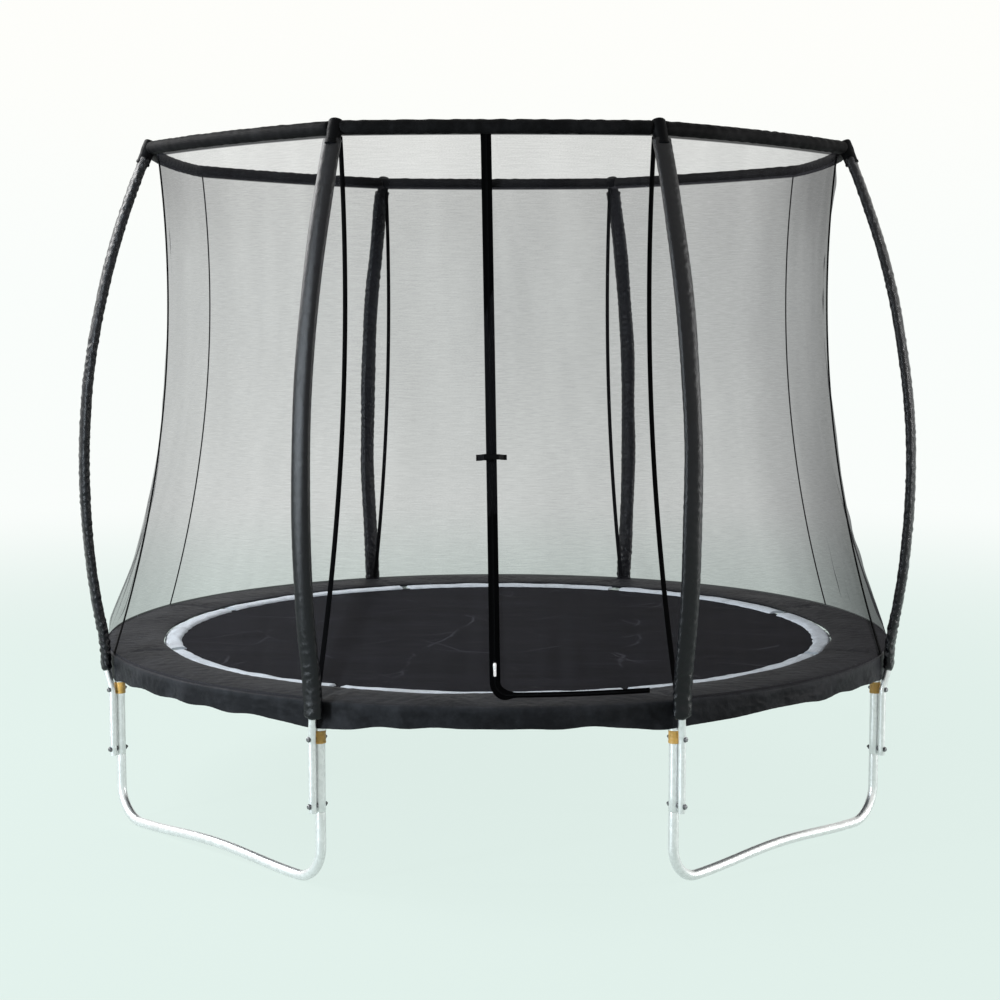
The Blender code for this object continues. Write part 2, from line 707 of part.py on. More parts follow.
def spring_set():
    """All the springs on the hem wire that hooks them to the mat, as one piece."""
    top = MAT_TOP - SPRING_DIAMETER / 4
    height = top - SPRING_DIAMETER / 2
    inner, outer = BAND_OUTER + 2 * FIT_GAP, BAND_OUTER + HEM_WIRE_WIDTH
    low, high = height - HEM_WIRE_WIDTH / 4, height + HEM_WIRE_WIDTH / 4
    section = [(inner, high), (outer, high), (outer, low), (inner, low)]
    wire = turned_ring("hem_wire", section, SPRING_COUNT)
    shape = bmesh.new()
    rise = RAIL_HEIGHT - height
    reach = FRAME_RADIUS - math.sqrt((RAIL_DIAMETER / 2) ** 2 - rise**2) - 2 * FIT_GAP
    length = reach - SPRING_DIAMETER / 2 - (inner + outer) / 2
    for i in range(SPRING_COUNT):
        angle = 2 * math.pi * (i + 0.5) / SPRING_COUNT
        middle = polar((inner + outer) / 2 + length / 2, angle, height)
        turn = Matrix.Rotation(angle, 4, "Z") @ Matrix.Rotation(math.pi / 2, 4, "Y")
        bmesh.ops.create_cone(
            shape,
            cap_ends=True,
            segments=4,
            radius1=SPRING_DIAMETER / 2,
            radius2=SPRING_DIAMETER / 2,
            depth=length,
            matrix=Matrix.Translation(middle) @ turn,
        )
    rods = bpy.data.meshes.new("springs")
    shape.to_mesh(rods)
    shape.free()
    mesh = assembled("spring_set", add_object("hem_wire", wire), (add_object("springs", rods),))
    return add_object("spring_set", mesh, "galvanised_steel")


def pad_top(radius):
    """Height of the crowned pad's upper face at a radius."""
    share = min(max((radius - PAD_INNER) / (PAD_OUTER - PAD_INNER), 0.0), 1.0)
    return PAD_UNDER + PAD_EDGE_THICKNESS + PAD_CROWN * math.sin(math.pi * share) ** 0.6


def spring_pad():
    """Crowned ring of padding over the springs, seamed at the corners, with a hanging wavy skirt."""
    rings = []
    for i in range(PAD_STEPS):
        angle = 2 * math.pi * i / PAD_STEPS
        off_corner = (angle / CORNER_ANGLE - 0.5) - round(angle / CORNER_ANGLE - 0.5)
        off_seam = off_corner * CORNER_ANGLE * PAD_OUTER
        seam = PAD_SEAM_DIP * math.exp(-((off_seam / PAD_SEAM_REACH) ** 2))
        at_corner = math.exp(-((off_seam / SKIRT_DROP_REACH) ** 2))
        wave = SKIRT_WAVE * (1 - at_corner) * (0.6 + 0.4 * math.cos(SKIRT_WAVE_COUNT * angle))
        hem = SKIRT_BOTTOM - SKIRT_POLE_DROP * at_corner
        crown = []
        for share in (0.06, 0.22, 0.45, 0.68, 0.88):
            radius = PAD_INNER + share * (PAD_OUTER - PAD_INNER)
            crown.append((radius, pad_top(radius) - seam))
        half = (PAD_UNDER + hem) / 2
        profile = [
            (PAD_INNER + PAD_EDGE_THICKNESS / 2, PAD_UNDER),
            (PAD_INNER, PAD_UNDER + PAD_EDGE_THICKNESS / 2),
            *crown,
            (PAD_OUTER, PAD_UNDER + PAD_EDGE_THICKNESS),
            (PAD_OUTER + wave / 2, half),
            (PAD_OUTER + wave, hem),
            (PAD_OUTER + wave - SKIRT_THICKNESS, hem),
            (PAD_OUTER + wave / 2 - SKIRT_THICKNESS, half),
            (PAD_OUTER - SKIRT_THICKNESS, PAD_UNDER),
        ]
        rings.append([polar(r, angle, z) for r, z in profile])
    mesh = smooth(loft("spring_pad", rings, closed=True))
    add_object("spring_pad", mesh, "pad_vinyl")


# Net, door flap, zip and buckle


def net_bottom():
    """Height of the net's lower edge, just clear of the pad."""
    return pad_top(NET_BOTTOM_RADIUS) + NET_GAP


def net_points(corner, across, up):
    """Points of the net: across runs over corner spans from a corner, up from 0 to 1 in height.

    At a corner the net follows a parabola drawn in by NET_WAIST. Between corners it bows out
    from the chord: fully round at the pad, and less towards the top ring.
    """
    span = np.minimum(np.floor(across + 1e-9), np.ceil(np.max(across) - 1e-9) - 1)
    t = across - span
    first = (corner + span + 0.5) * CORNER_ANGLE
    radius = NET_BOTTOM_RADIUS + (NET_TOP_RADIUS - NET_BOTTOM_RADIUS) * up - 4 * NET_WAIST * up * (1 - up)
    round_bow = NET_BOTTOM_RADIUS * (1 - math.cos(HALF_CORNER))
    bow = round_bow * (1 - up) ** 2 + 2 * NET_MIDDLE_BOW * up * (1 - up) + NET_TOP_BOW * up**2
    bulge = bow * 4 * t * (1 - t)
    middle = first + HALF_CORNER
    x = radius * ((1 - t) * np.cos(first) + t * np.cos(first + CORNER_ANGLE)) + bulge * np.cos(middle)
    y = radius * ((1 - t) * np.sin(first) + t * np.sin(first + CORNER_ANGLE)) + bulge * np.sin(middle)
    z = net_bottom() + (NET_TOP_HEIGHT - net_bottom()) * up
    return np.stack([x, y, z], axis=-1)


def net_sheet(name, corner, spans, columns, rows):
    """Thin sheet of net over some corner spans, with live thickness."""
    edge = NET_GAP / (2 * NET_TOP_RADIUS * math.sin(HALF_CORNER))
    across = np.linspace(0, spans, columns * spans + 1)
    across[0], across[-1] = edge, spans - edge
    up = np.linspace(0, 1, rows + 1)
    grid = net_points(corner, *np.broadcast_arrays(across[None, :], up[:, None]))
    return smooth(sheet(name, grid))


def thicken(piece, thickness):
    """Give a sheet its thickness, half to each side."""
    solid = piece.modifiers.new("Thickness", "SOLIDIFY")
    solid.thickness = thickness
    solid.offset = 0
    solid.use_even_offset = True


def front_net(x, height):
    """Point of the front net at a distance x along the chord's direction and a height."""
    chord = 2 * math.sin(HALF_CORNER)
    up = (height - net_bottom()) / (NET_TOP_HEIGHT - net_bottom())
    radius = NET_BOTTOM_RADIUS + (NET_TOP_RADIUS - NET_BOTTOM_RADIUS) * up - 4 * NET_WAIST * up * (1 - up)
    return Vector(net_points(NET_SPANS["front"][0], np.array(0.5 + x / (radius * chord)), np.array(up)))


def zip_x(height):
    """Sideways place of the slanting zip at a height."""
    share = (height - ZIP_FOOT_HEIGHT) / (NET_TOP_HEIGHT - ZIP_FOOT_HEIGHT)
    return ZIP_FOOT_X + (ZIP_TOP_X - ZIP_FOOT_X) * share


def door_corners():
    """Corners (x, z) of the flap: top of the zip, foot, far end of the zip and top of the fold."""
    top = NET_TOP_HEIGHT - DOOR_TOP_DROP
    return [
        np.array([zip_x(top), top]),
        np.array([zip_x(ZIP_FOOT_HEIGHT), ZIP_FOOT_HEIGHT]),
        np.array([DOOR_REACH_X, ZIP_FOOT_HEIGHT]),
        np.array([zip_x(top) + DOOR_TOP_WIDTH, top]),
    ]


def door_outline(inset):
    """Outline (x, z) of the flap, moved inwards by an inset and rounded where the zip turns."""
    corners = door_corners()
    lines = []
    for i, start in enumerate(corners):
        along = corners[(i + 1) % len(corners)] - start
        inward = np.array([-along[1], along[0]]) / np.linalg.norm(along)
        lines.append((start + inward * inset, along))
    outline = []
    for (p, along), (q, other) in zip(lines[-1:] + lines[:-1], lines):
        share = np.linalg.solve(np.stack([along, -other], axis=1), q - p)[0]
        outline.append(p + along * share)
    foot, up, level = outline[1], outline[0] - outline[1], outline[2] - outline[1]
    up, level = up / np.linalg.norm(up), level / np.linalg.norm(level)
    radius = ZIP_BEND_RADIUS - inset
    centre = foot + radius * (up + level)
    turns = np.linspace(0, math.pi / 2, 6)
    bend = [centre - radius * (level * math.cos(a) + up * math.sin(a)) for a in turns]
    return [outline[0], *bend, *outline[2:]]


def nets():
    """Net panels round the enclosure; the front one has the doorway that the flap closes."""
    for where, (corner, spans) in NET_SPANS.items():
        name = f"net_panel_{where}"
        panel = add_object(name, net_sheet(name, corner, spans, NET_COLUMNS, NET_ROWS), "net_mesh")
        thicken(panel, NET_THICKNESS)
    front = bpy.data.objects["net_panel_front"]
    depth = (-FRAME_RADIUS - POLE_DIAMETER, 0)
    boolean(front, prism("doorway_cutter", door_outline(0), depth))
    flap_mesh = net_sheet("net_door_flap", *NET_SPANS["front"], NET_COLUMNS, NET_ROWS)
    flap = add_object("net_door_flap", flap_mesh, "net_mesh")
    thicken(flap, NET_THICKNESS)
    boolean(flap, prism("flap_cutter", door_outline(DOOR_SLIT), depth), "INTERSECT")
    far_end, fold_top = (front_net(*corner) for corner in door_corners()[2:])
    out = Vector((0, -DOOR_AXIS_STANDOFF, 0))
    hinge = axis_empty("door_hinge", far_end + out, fold_top - far_end)
    carry(hinge, flap)
    return hinge


def zip_frame(height):
    """Frame on the zip at a height: X across it, Y up along it and Z out of the net."""
    step = SLIDER_LENGTH / 2
    here = front_net(zip_x(height), height)
    along = (front_net(zip_x(height + step), height + step) - here).normalized()
    across = Vector((1, 0, 0)) - along * along.x
    across.normalize()
    out = across.cross(along)
    turn = Matrix((across, along, out)).transposed().to_4x4()
    return Matrix.Translation(here) @ turn


def zip_track():
    """Centre and axis of the arc that the bowed zip follows, through its foot, middle and top."""
    heights = SLIDER_HEIGHT, (SLIDER_HEIGHT + NET_TOP_HEIGHT) / 2, NET_TOP_HEIGHT
    foot, middle, top = (front_net(zip_x(height), height) for height in heights)
    a, b = middle - foot, top - foot
    normal = a.cross(b)
    centre = foot + (a.length_squared * b.cross(normal) + b.length_squared * normal.cross(a)) / (
        2 * normal.length_squared
    )
    return centre, normal.normalized()


def zip_slider():
    """Zip slider with its bridge, and the pull that hangs in the bridge."""
    face = SLIDER_FACE
    over = face + BRIDGE_GAP
    body = box("body", (-SLIDER_WIDTH / 2, -SLIDER_LENGTH / 2, SLIDER_STANDOFF),
               (SLIDER_WIDTH / 2, SLIDER_LENGTH / 2, face))
    bridge = box("bridge", (-BRIDGE_WIDTH / 2, -BRIDGE_LENGTH / 2, face - SLIDER_THICKNESS / 2),
                 (BRIDGE_WIDTH / 2, BRIDGE_LENGTH / 2, over + BRIDGE_THICKNESS))
    inside = BRIDGE_LENGTH / 2 - BRIDGE_THICKNESS
    gap = box("gap", (-SLIDER_WIDTH, -inside, face), (SLIDER_WIDTH, inside, over))
    place = zip_frame(SLIDER_HEIGHT)
    slider_mesh = assembled("zip_slider", body, (bridge,), (gap,))
    slider_mesh.transform(place)
    slider = add_object("zip_slider", slider_mesh, "zip_metal")

    middle = face + BRIDGE_GAP / 2
    low, high = middle - PULL_THICKNESS / 2, middle + PULL_THICKNESS / 2
    tip = PULL_CROSSBAR / 2 - PULL_LENGTH
    plate = box("plate", (-PULL_WIDTH / 2, tip, low), (PULL_WIDTH / 2, PULL_CROSSBAR / 2, high))
    window_top = -PULL_CROSSBAR / 2
    window = box("window", (-PULL_WINDOW_WIDTH / 2, window_top - PULL_WINDOW_LENGTH, low - PULL_THICKNESS),
                 (PULL_WINDOW_WIDTH / 2, window_top, high + PULL_THICKNESS))
    pull_mesh = assembled("zip_pull", plate, cut=(window,))
    pull_mesh.transform(place)
    pull = add_object("zip_pull", pull_mesh, "zip_metal")

    track = axis_empty("zip_track", *zip_track())
    pivot = axis_empty("pull_pivot", place @ Vector((0, 0, middle)), place.to_3x3() @ Vector((-1, 0, 0)))
    carry(track, slider, pivot)
    carry(pivot, pull)


def buckle(hinge):
    """Buckle halves on straps: an open-faced socket on the fixed net and a tongue on the flap."""
    inside = NET_THICKNESS / 2 + FIT_GAP
    floor = BUCKLE_STANDOFF + BUCKLE_WALL
    tongue_low = floor + FIT_GAP
    tongue_high = tongue_low + BUCKLE_TONGUE_THICKNESS
    place = zip_frame(BUCKLE_HEIGHT)

    def strap(name, sign, top, end, width, shelf):
        """Side profile of a strap that rises off the net to a shelf and runs on to an end."""
        far = BUCKLE_HALF_LENGTH
        profile = [
            (sign * far, inside),
            (sign * (far - BUCKLE_FOOT), inside),
            (sign * (far - BUCKLE_FOOT - BUCKLE_RAMP), shelf),
            (end, shelf),
            (end, top),
            (sign * (far - BUCKLE_FOOT - BUCKLE_RAMP + BUCKLE_WALL), top),
            (sign * (far - BUCKLE_FOOT + BUCKLE_WALL), inside + BUCKLE_WALL),
            (sign * far, inside + BUCKLE_WALL),
        ]
        return prism(name, profile, (-width / 2, width / 2))

    stop = -BUCKLE_TONGUE_REACH - BUCKLE_TIP_GAP
    tray = strap("tray", -1, floor, BUCKLE_WALL, BUCKLE_SOCKET_WIDTH, BUCKLE_STANDOFF)
    wall = box("wall", (stop - BUCKLE_WALL, -BUCKLE_SOCKET_WIDTH / 2, BUCKLE_STANDOFF + BUCKLE_WALL / 2),
               (stop, BUCKLE_SOCKET_WIDTH / 2, tongue_high))
    inner_side = BUCKLE_STRAP_WIDTH / 2 - BUCKLE_WALL
    sides = [
        box("side", (stop - BUCKLE_WALL / 2, min(a, b), BUCKLE_STANDOFF + BUCKLE_WALL / 2),
            (BUCKLE_WALL / 2, max(a, b), tongue_high))
        for a, b in ((inner_side + FIT_GAP, BUCKLE_SOCKET_WIDTH / 2),
                     (-inner_side - FIT_GAP, -BUCKLE_SOCKET_WIDTH / 2))
    ]
    socket_mesh = assembled("buckle_socket", tray, (wall, *sides))
    socket_mesh.transform(place)
    add_object("buckle_socket", socket_mesh, "black_plastic")

    lead = strap("lead", 1, tongue_high, 2 * BUCKLE_WALL, BUCKLE_STRAP_WIDTH, tongue_low)
    blade = box("blade", (-BUCKLE_TONGUE_REACH, -inner_side, tongue_low),
                (3 * BUCKLE_WALL, inner_side, tongue_high))
    tongue_mesh = assembled("buckle_tongue", lead, (blade,))
    tongue_mesh.transform(place)
    tongue = add_object("buckle_tongue", tongue_mesh, "black_plastic")
    slide = axis_empty("tongue_slide", place.translation, place.to_3x3() @ Vector((1, 0, 0)))
    carry(hinge, slide)
    carry(slide, tongue)


def build():
    """Build every piece."""
    frame_rails()
    leg_uprights()
    leg_bases()
    leg_collars()
    pole_bolts()
    poles()
    pole_sleeves()
    top_rails()
    jumping_mat()
    spring_pad()
    hinge = nets()
    zip_slider()
    buckle(hinge)


build()
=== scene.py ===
"""Round garden trampoline with a curved-pole safety enclosure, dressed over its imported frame.

Metres, +Z up. Corner k of the ring stands at (k + 0.5) * 45 degrees; the zipped doorway faces -Y.
"""

import logging
import math
from dataclasses import dataclass, field
from enum import Enum
from typing import Any

import bpy
import numpy as np
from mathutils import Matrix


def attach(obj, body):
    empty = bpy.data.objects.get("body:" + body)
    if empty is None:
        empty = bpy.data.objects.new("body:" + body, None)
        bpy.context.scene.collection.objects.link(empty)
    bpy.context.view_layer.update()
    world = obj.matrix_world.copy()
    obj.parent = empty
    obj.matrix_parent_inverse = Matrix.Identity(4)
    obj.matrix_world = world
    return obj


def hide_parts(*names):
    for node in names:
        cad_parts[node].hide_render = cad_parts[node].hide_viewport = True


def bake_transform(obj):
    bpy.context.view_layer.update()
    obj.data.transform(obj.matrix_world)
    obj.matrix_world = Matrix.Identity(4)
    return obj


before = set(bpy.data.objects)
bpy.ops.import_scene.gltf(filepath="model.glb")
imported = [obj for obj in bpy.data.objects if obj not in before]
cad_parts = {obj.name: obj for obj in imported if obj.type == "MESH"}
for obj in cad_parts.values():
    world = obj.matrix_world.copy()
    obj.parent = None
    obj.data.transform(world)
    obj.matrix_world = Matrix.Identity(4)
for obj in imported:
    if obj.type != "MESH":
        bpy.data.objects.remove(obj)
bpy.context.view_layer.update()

LOG = logging.getLogger("trampoline")
Array = np.ndarray
Colour = tuple[float, float, float]


class Body(Enum):
    """Moving bodies that a piece can ride on."""

    FRAME = "frame"
    MAT = "mat"
    DOOR = "door"
    SLIDER = "zip_slider"
    PULL = "zip_pull"
    TONGUE = "buckle_tongue"


class Slot(Enum):
    """Material slots of the record."""

    STEEL = "galvanised_steel"
    AMBER = "amber_plastic"
    SLEEVE = "sleeve_fabric"
    COVER = "black_cover"
    NET = "net_mesh"
    MAT = "mat_fabric"
    WEBBING = "white_webbing"
    PAD = "pad_vinyl"
    PLASTIC = "black_plastic"
    METAL = "zip_metal"


class Facing(Enum):
    """Which way the faces of a grid point."""

    ROW = "away from the middle of each row"
    AXIS = "away from the upright axis"
    UP = "upwards"


# Shader maths


class Value:
    """A shader socket that takes part in arithmetic."""

    def __init__(self, recipe: "Recipe", socket: Any) -> None:
        """Wrap a socket of a recipe's tree."""
        self.recipe, self.socket = recipe, socket

    def math(self, operation: str, *values: Any) -> "Value":
        """Add a Math node with an operation on this value and others."""
        return self.recipe.node("ShaderNodeMath", {"operation": operation}, dict(enumerate(values)))

    def __add__(self, other: Any) -> "Value":
        """Sum."""
        return self.math("ADD", self, other)

    __radd__ = __add__

    def __sub__(self, other: Any) -> "Value":
        """Difference."""
        return self.math("SUBTRACT", self, other)

    def __rsub__(self, other: Any) -> "Value":
        """Difference from a number."""
        return self.math("SUBTRACT", other, self)

    def __mul__(self, other: Any) -> "Value":
        """Product."""
        return self.math("MULTIPLY", self, other)

    __rmul__ = __mul__

    def __truediv__(self, other: Any) -> "Value":
        """Quotient."""
        return self.math("DIVIDE", self, other)

    def __rtruediv__(self, other: Any) -> "Value":
        """Quotient of a number."""
        return self.math("DIVIDE", other, self)

    def __pow__(self, other: Any) -> "Value":
        """Power."""
        return self.math("POWER", self, other)

    def __abs__(self) -> "Value":
        """Size without sign."""
        return self.math("ABSOLUTE", self)

    def sin(self) -> "Value":
        """Sine of an angle in radians."""
        return self.math("SINE", self)

    def fraction(self) -> "Value":
        """What is left above the whole number below."""
        return self.math("FRACT", self)

    def highest(self, other: Any) -> "Value":
        """The larger of two values."""
        return self.math("MAXIMUM", self, other)

    def ramp(self, low: float, high: float) -> "Value":
        """Smooth step from 0 at low to 1 at high."""
        inputs = {"Value": self, "From Min": low, "From Max": high}
        return self.recipe.node("ShaderNodeMapRange", {"interpolation_type": "SMOOTHSTEP"}, inputs)


class Recipe:
    """A node tree in the making: a new material, or the tree of the world."""

    def __init__(self, name: str, owner: Any = None) -> None:
        """Start a new material, or refill the tree of an owner that has one."""
        self.owner = owner or bpy.data.materials.new(name)
        self.owner.use_nodes = True
        self.tree = self.owner.node_tree
        self.tree.nodes.clear()

    def node(self, kind: str, settings: dict[str, Any], inputs: dict[Any, Any], output: Any = 0) -> Value:
        """Add a node.

        Args:
            kind: type name of the node.
            settings: properties of the node, set before its sockets.
            inputs: values or links of its sockets, by name or number.
            output: name or number of the socket to return.

        Returns:
            The chosen output socket.
        """
        made = self.tree.nodes.new(kind)
        for key, setting in settings.items():
            setattr(made, key, setting)
        for key, given in inputs.items():
            if isinstance(given, Value):
                self.tree.links.new(given.socket, made.inputs[key])
            else:
                made.inputs[key].default_value = given
        return Value(self, made.outputs[output] if len(made.outputs) else None)

    def place(self) -> Value:
        """Object coordinates in metres."""
        return self.node("ShaderNodeTexCoord", {}, {}, "Object")

    def cloth(self) -> Value:
        """The piece's own UV map, in metres along the cloth."""
        return self.node("ShaderNodeUVMap", {"uv_map": "UVMap"}, {})

    def parts(self, vector: Value) -> list[Value]:
        """The three components of a vector."""
        split = self.node("ShaderNodeSeparateXYZ", {}, {0: vector}).socket.node
        return [Value(self, socket) for socket in split.outputs]

    def stretched(self, vector: Value, scale: Colour) -> Value:
        """A vector with each component scaled by its own factor."""
        return self.node("ShaderNodeMapping", {}, {"Vector": vector, "Scale": scale})

    def noise(self, vector: Value, scale: float, detail: float = 3.0, rough: float = 0.55) -> Value:
        """Soft noise from 0 to 1, with a number of cells to the metre."""
        inputs = {"Vector": vector, "Scale": scale, "Detail": detail, "Roughness": rough}
        return self.node("ShaderNodeTexNoise", {}, inputs)

    def cells(self, vector: Value, scale: float) -> Value:
        """A random shade for each of many small cells, with a number of them to the metre."""
        cells = self.node("ShaderNodeTexVoronoi", {}, {"Vector": vector, "Scale": scale}, "Color")
        return self.parts(cells)[0]

    def blend(self, share: Value, low: Colour, high: Colour) -> Value:
        """A colour between two, by a share from 0 to 1."""
        inputs = {0: share, 6: (*low, 1.0), 7: (*high, 1.0)}
        return self.node("ShaderNodeMix", {"data_type": "RGBA"}, inputs, 2)

    def bump(self, height: Value, distance: float, strength: float = 1.0) -> Value:
        """A normal that is tilted by a height of some metres."""
        inputs = {"Height": height, "Distance": distance, "Strength": strength}
        return self.node("ShaderNodeBump", {}, inputs)

    def surface(self, inputs: dict[str, Any]) -> bpy.types.Material:
        """Close a material with a Principled shader that has these sockets set."""
        shader = self.node("ShaderNodeBsdfPrincipled", {}, inputs)
        self.node("ShaderNodeOutputMaterial", {}, {"Surface": shader})
        return self.owner


# Finishes


@dataclass(frozen=True)
class Finish:
    """A finish with a main colour, a roughness and a specular level."""

    name: str
    colour: Colour
    roughness: float
    gloss: float = 0.5

    def shade(self, factor: float) -> Colour:
        """The main colour made darker or lighter by a factor."""
        return tuple(min(part * factor, 1.0) for part in self.colour)

    def material(self) -> bpy.types.Material:
        """Make the material."""
        raise NotImplementedError


@dataclass(frozen=True)
class Steel(Finish):
    """Galvanised tube: zinc spangle in soft-edged flakes, faint draw lines and dull patches."""

    flakes: float = 95.0
    metal: float = 1.0

    def material(self) -> bpy.types.Material:
        """Spangle shifts colour and roughness, and a fine grain bumps the surface."""
        recipe = Recipe(self.name)
        place = recipe.place()
        spangle = recipe.cells(place, self.flakes)
        cloud = recipe.noise(place, 9.0)
        grain = recipe.noise(recipe.stretched(place, (1, 1, 0.08)), 900.0, 2.0)
        tone = (spangle * 0.45 + cloud * 0.4 + grain * 0.15).ramp(0.15, 0.85)
        return recipe.surface({
            "Base Color": recipe.blend(tone, self.shade(0.92), self.shade(1.05)),
            "Metallic": self.metal,
            "Roughness": self.roughness + (cloud - 0.5) * 0.12 + (spangle - 0.5) * 0.05,
            "Normal": recipe.bump(grain + spangle * 0.2, 0.00003, 0.3),
        })


@dataclass(frozen=True)
class Plastic(Finish):
    """Moulded plastic with a fine spark-eroded grain and scuffed high spots."""

    grain: float = 1400.0

    def material(self) -> bpy.types.Material:
        """Grain bumps the surface and scuffs change its colour and roughness."""
        recipe = Recipe(self.name)
        place = recipe.place()
        grain = recipe.noise(place, self.grain, 2.0)
        scuff = recipe.noise(place, 60.0, 4.0).ramp(0.45, 0.8)
        return recipe.surface({
            "Base Color": recipe.blend(scuff, self.shade(0.9), self.shade(1.25)),
            "Roughness": self.roughness + scuff * 0.12 + (grain - 0.5) * 0.08,
            "Specular IOR Level": self.gloss,
            "Normal": recipe.bump(grain, 0.00008, 0.6),
        })


@dataclass(frozen=True)
class CoatedCloth(Finish):
    """Coated cloth: a fine over-and-under weave under a satin skin, with rubbed patches."""

    threads: float = 1500.0
    rubbed: float = 1.8
    creased: float = 3.0

    def material(self) -> bpy.types.Material:
        """Crossed sines make the weave, and two noises make rubbed patches and creases."""
        recipe = Recipe(self.name)
        place, (across, along, _) = recipe.place(), recipe.parts(recipe.cloth())
        weave = (across * self.threads * 2).sin() * (along * self.threads * 2).sin()
        patch = recipe.noise(place, 7.0, 4.0, 0.6)
        crease = recipe.noise(recipe.stretched(place, (1, 1, 0.5)), 38.0, 5.0, 0.6)
        rub = (patch * 0.6 + crease * 0.4).ramp(0.42, 0.72)
        return recipe.surface({
            "Base Color": recipe.blend(rub, self.shade(0.75), self.shade(self.rubbed)),
            "Roughness": self.roughness + (crease - 0.5) * (self.creased / 12) + weave * 0.02,
            "Specular IOR Level": self.gloss,
            "Normal": recipe.bump(crease * self.creased + weave * 0.25, 0.0006, 0.7),
        })


@dataclass(frozen=True)
class Netting(Finish):
    """Fine knitted mesh, seen through: faint lines along its rows, denser at its rolled hems."""

    cover: float = 0.29
    # Painted light: the cover thins by this much below these heights, so the lower net shows lighter.
    painted_light_thinning: float = 0.055
    painted_light_heights: tuple[float, float] = (1.0, 2.1)
    side: float = 0.13
    side_shares: tuple[float, float] = (0.60, 1.0)
    # Painted shade: the cover rises with x, so the net shows darker towards +x.
    lean: float = 0.047
    gathered: float = 0.13
    # Painted shade: the lower sides' cover rises further with x.
    low_shade_tilt: float = 0.03
    gather_heights: tuple[float, float] = (0.60, 1.75)
    topped: float = 0.10
    # Painted shade: the top sides' cover rises towards -x.
    top_shade_tilt: float = -0.02
    top_heights: tuple[float, float] = (2.02, 2.42)
    hem: float = 0.010
    height: float = 1.9

    def material(self) -> bpy.types.Material:
        """Opacity is a cover that is denser at the gathered sides, with row lines, clouds and solid hems;
        painted shade tilts it denser towards one side, and painted light thins it lower down.
        """
        recipe = Recipe(self.name)
        cloth = recipe.cloth()
        _, along, _ = recipe.parts(cloth)
        rows = recipe.noise(recipe.stretched(cloth, (14.0, 210.0, 1.0)), 1.0, 3.0, 0.7)
        threads = recipe.noise(recipe.stretched(cloth, (240.0, 300.0, 1.0)), 1.0, 2.0, 0.6)
        cloud = recipe.noise(cloth, 2.6, 2.0)
        x, y, z = recipe.parts(recipe.place())
        # Painted shade: the x terms here and in side tilt the cover, so the net shows darker towards +x below
        # and towards -x at the top.
        gather = (1 - z.ramp(*self.gather_heights)) * (self.gathered + x * self.low_shade_tilt)
        gather = gather + z.ramp(*self.top_heights) * (self.topped + x * self.top_shade_tilt)
        sideways = (x * x / (x * x + y * y)).ramp(*self.side_shares)
        side = sideways * (gather + self.side + x * self.lean) + x * self.lean
        # Painted light: lower down the cover thins, so the net shows lighter there.
        thin = (1 - z.ramp(*self.painted_light_heights)) * self.painted_light_thinning
        drape = recipe.noise(recipe.stretched(cloth, (5.0, 0.9, 1.0)), 1.0, 3.0, 0.5)
        cover = (self.cover + side - thin + (rows - 0.5) * 0.22 + (threads - 0.5) * 0.22
                 + (cloud - 0.5) * 0.06 + (drape - 0.5) * 0.12)
        hems = (1 - along.ramp(self.hem * 0.8, self.hem * 1.2)).highest(
            along.ramp(self.height - self.hem * 1.2, self.height - self.hem * 0.8))
        return recipe.surface({
            "Base Color": recipe.blend(rows, self.shade(0.7), self.shade(1.3)),
            "Roughness": self.roughness + (cloud - 0.5) * 0.1,
            "Specular IOR Level": self.gloss,
            "Alpha": cover.highest(hems * 0.92),
        })


@dataclass(frozen=True)
class MatWeave(Finish):
    """Flat woven slit-film cloth: crossed ribs, worn creases from packing, stitched edge rows."""

    pitch: float = 0.0042
    edge: float = 1.238

    def material(self) -> bpy.types.Material:
        """Crossed sines make the ribs, stretched noise the streaks and bent lines the creases."""
        recipe = Recipe(self.name)
        place = recipe.place()
        x, y, _ = recipe.parts(place)
        turn = 2 * math.pi / self.pitch
        ribs = (x * turn).sin() * (y * turn).sin()
        bend = recipe.noise(place, 1.6, 3.0) * 0.5
        folds = [abs(((x * math.cos(turn_to) + y * math.sin(turn_to)) / gap + bend).fraction() - 0.5)
                 for turn_to, gap in ((0.55, 0.46), (1.35, 0.62), (2.30, 0.53), (2.95, 0.71))]
        worn = recipe.noise(place, 3.3, 3.0).ramp(0.45, 0.72)
        lines = [1 - line.ramp(0.0, 0.016) for line in folds]
        fold = lines[0].highest(lines[1]).highest(lines[2]).highest(lines[3]) * worn
        cloud = recipe.noise(place, 3.1, 5.0, 0.65)
        radius = (x * x + y * y) ** 0.5
        rows = 1 - (abs(abs(radius - self.edge) - 0.006)).ramp(0.0008, 0.0018)
        streak = recipe.noise(recipe.stretched(place, (2.6, 15.0, 1.0)), 1.0, 5.0, 0.7)
        tone = (cloud * 0.35 + streak * 0.45 + fold * 0.60 + ribs * 0.05).ramp(0.25, 0.85)
        return recipe.surface({
            "Base Color": recipe.blend(tone, self.shade(0.45), self.shade(2.1)),
            "Roughness": self.roughness - fold * 0.15 + (cloud - 0.5) * 0.2,
            "Specular IOR Level": self.gloss,
            "Normal": recipe.bump(ribs * 0.3 + fold * 1.2 - rows * 1.2, 0.0007, 0.8),
        })


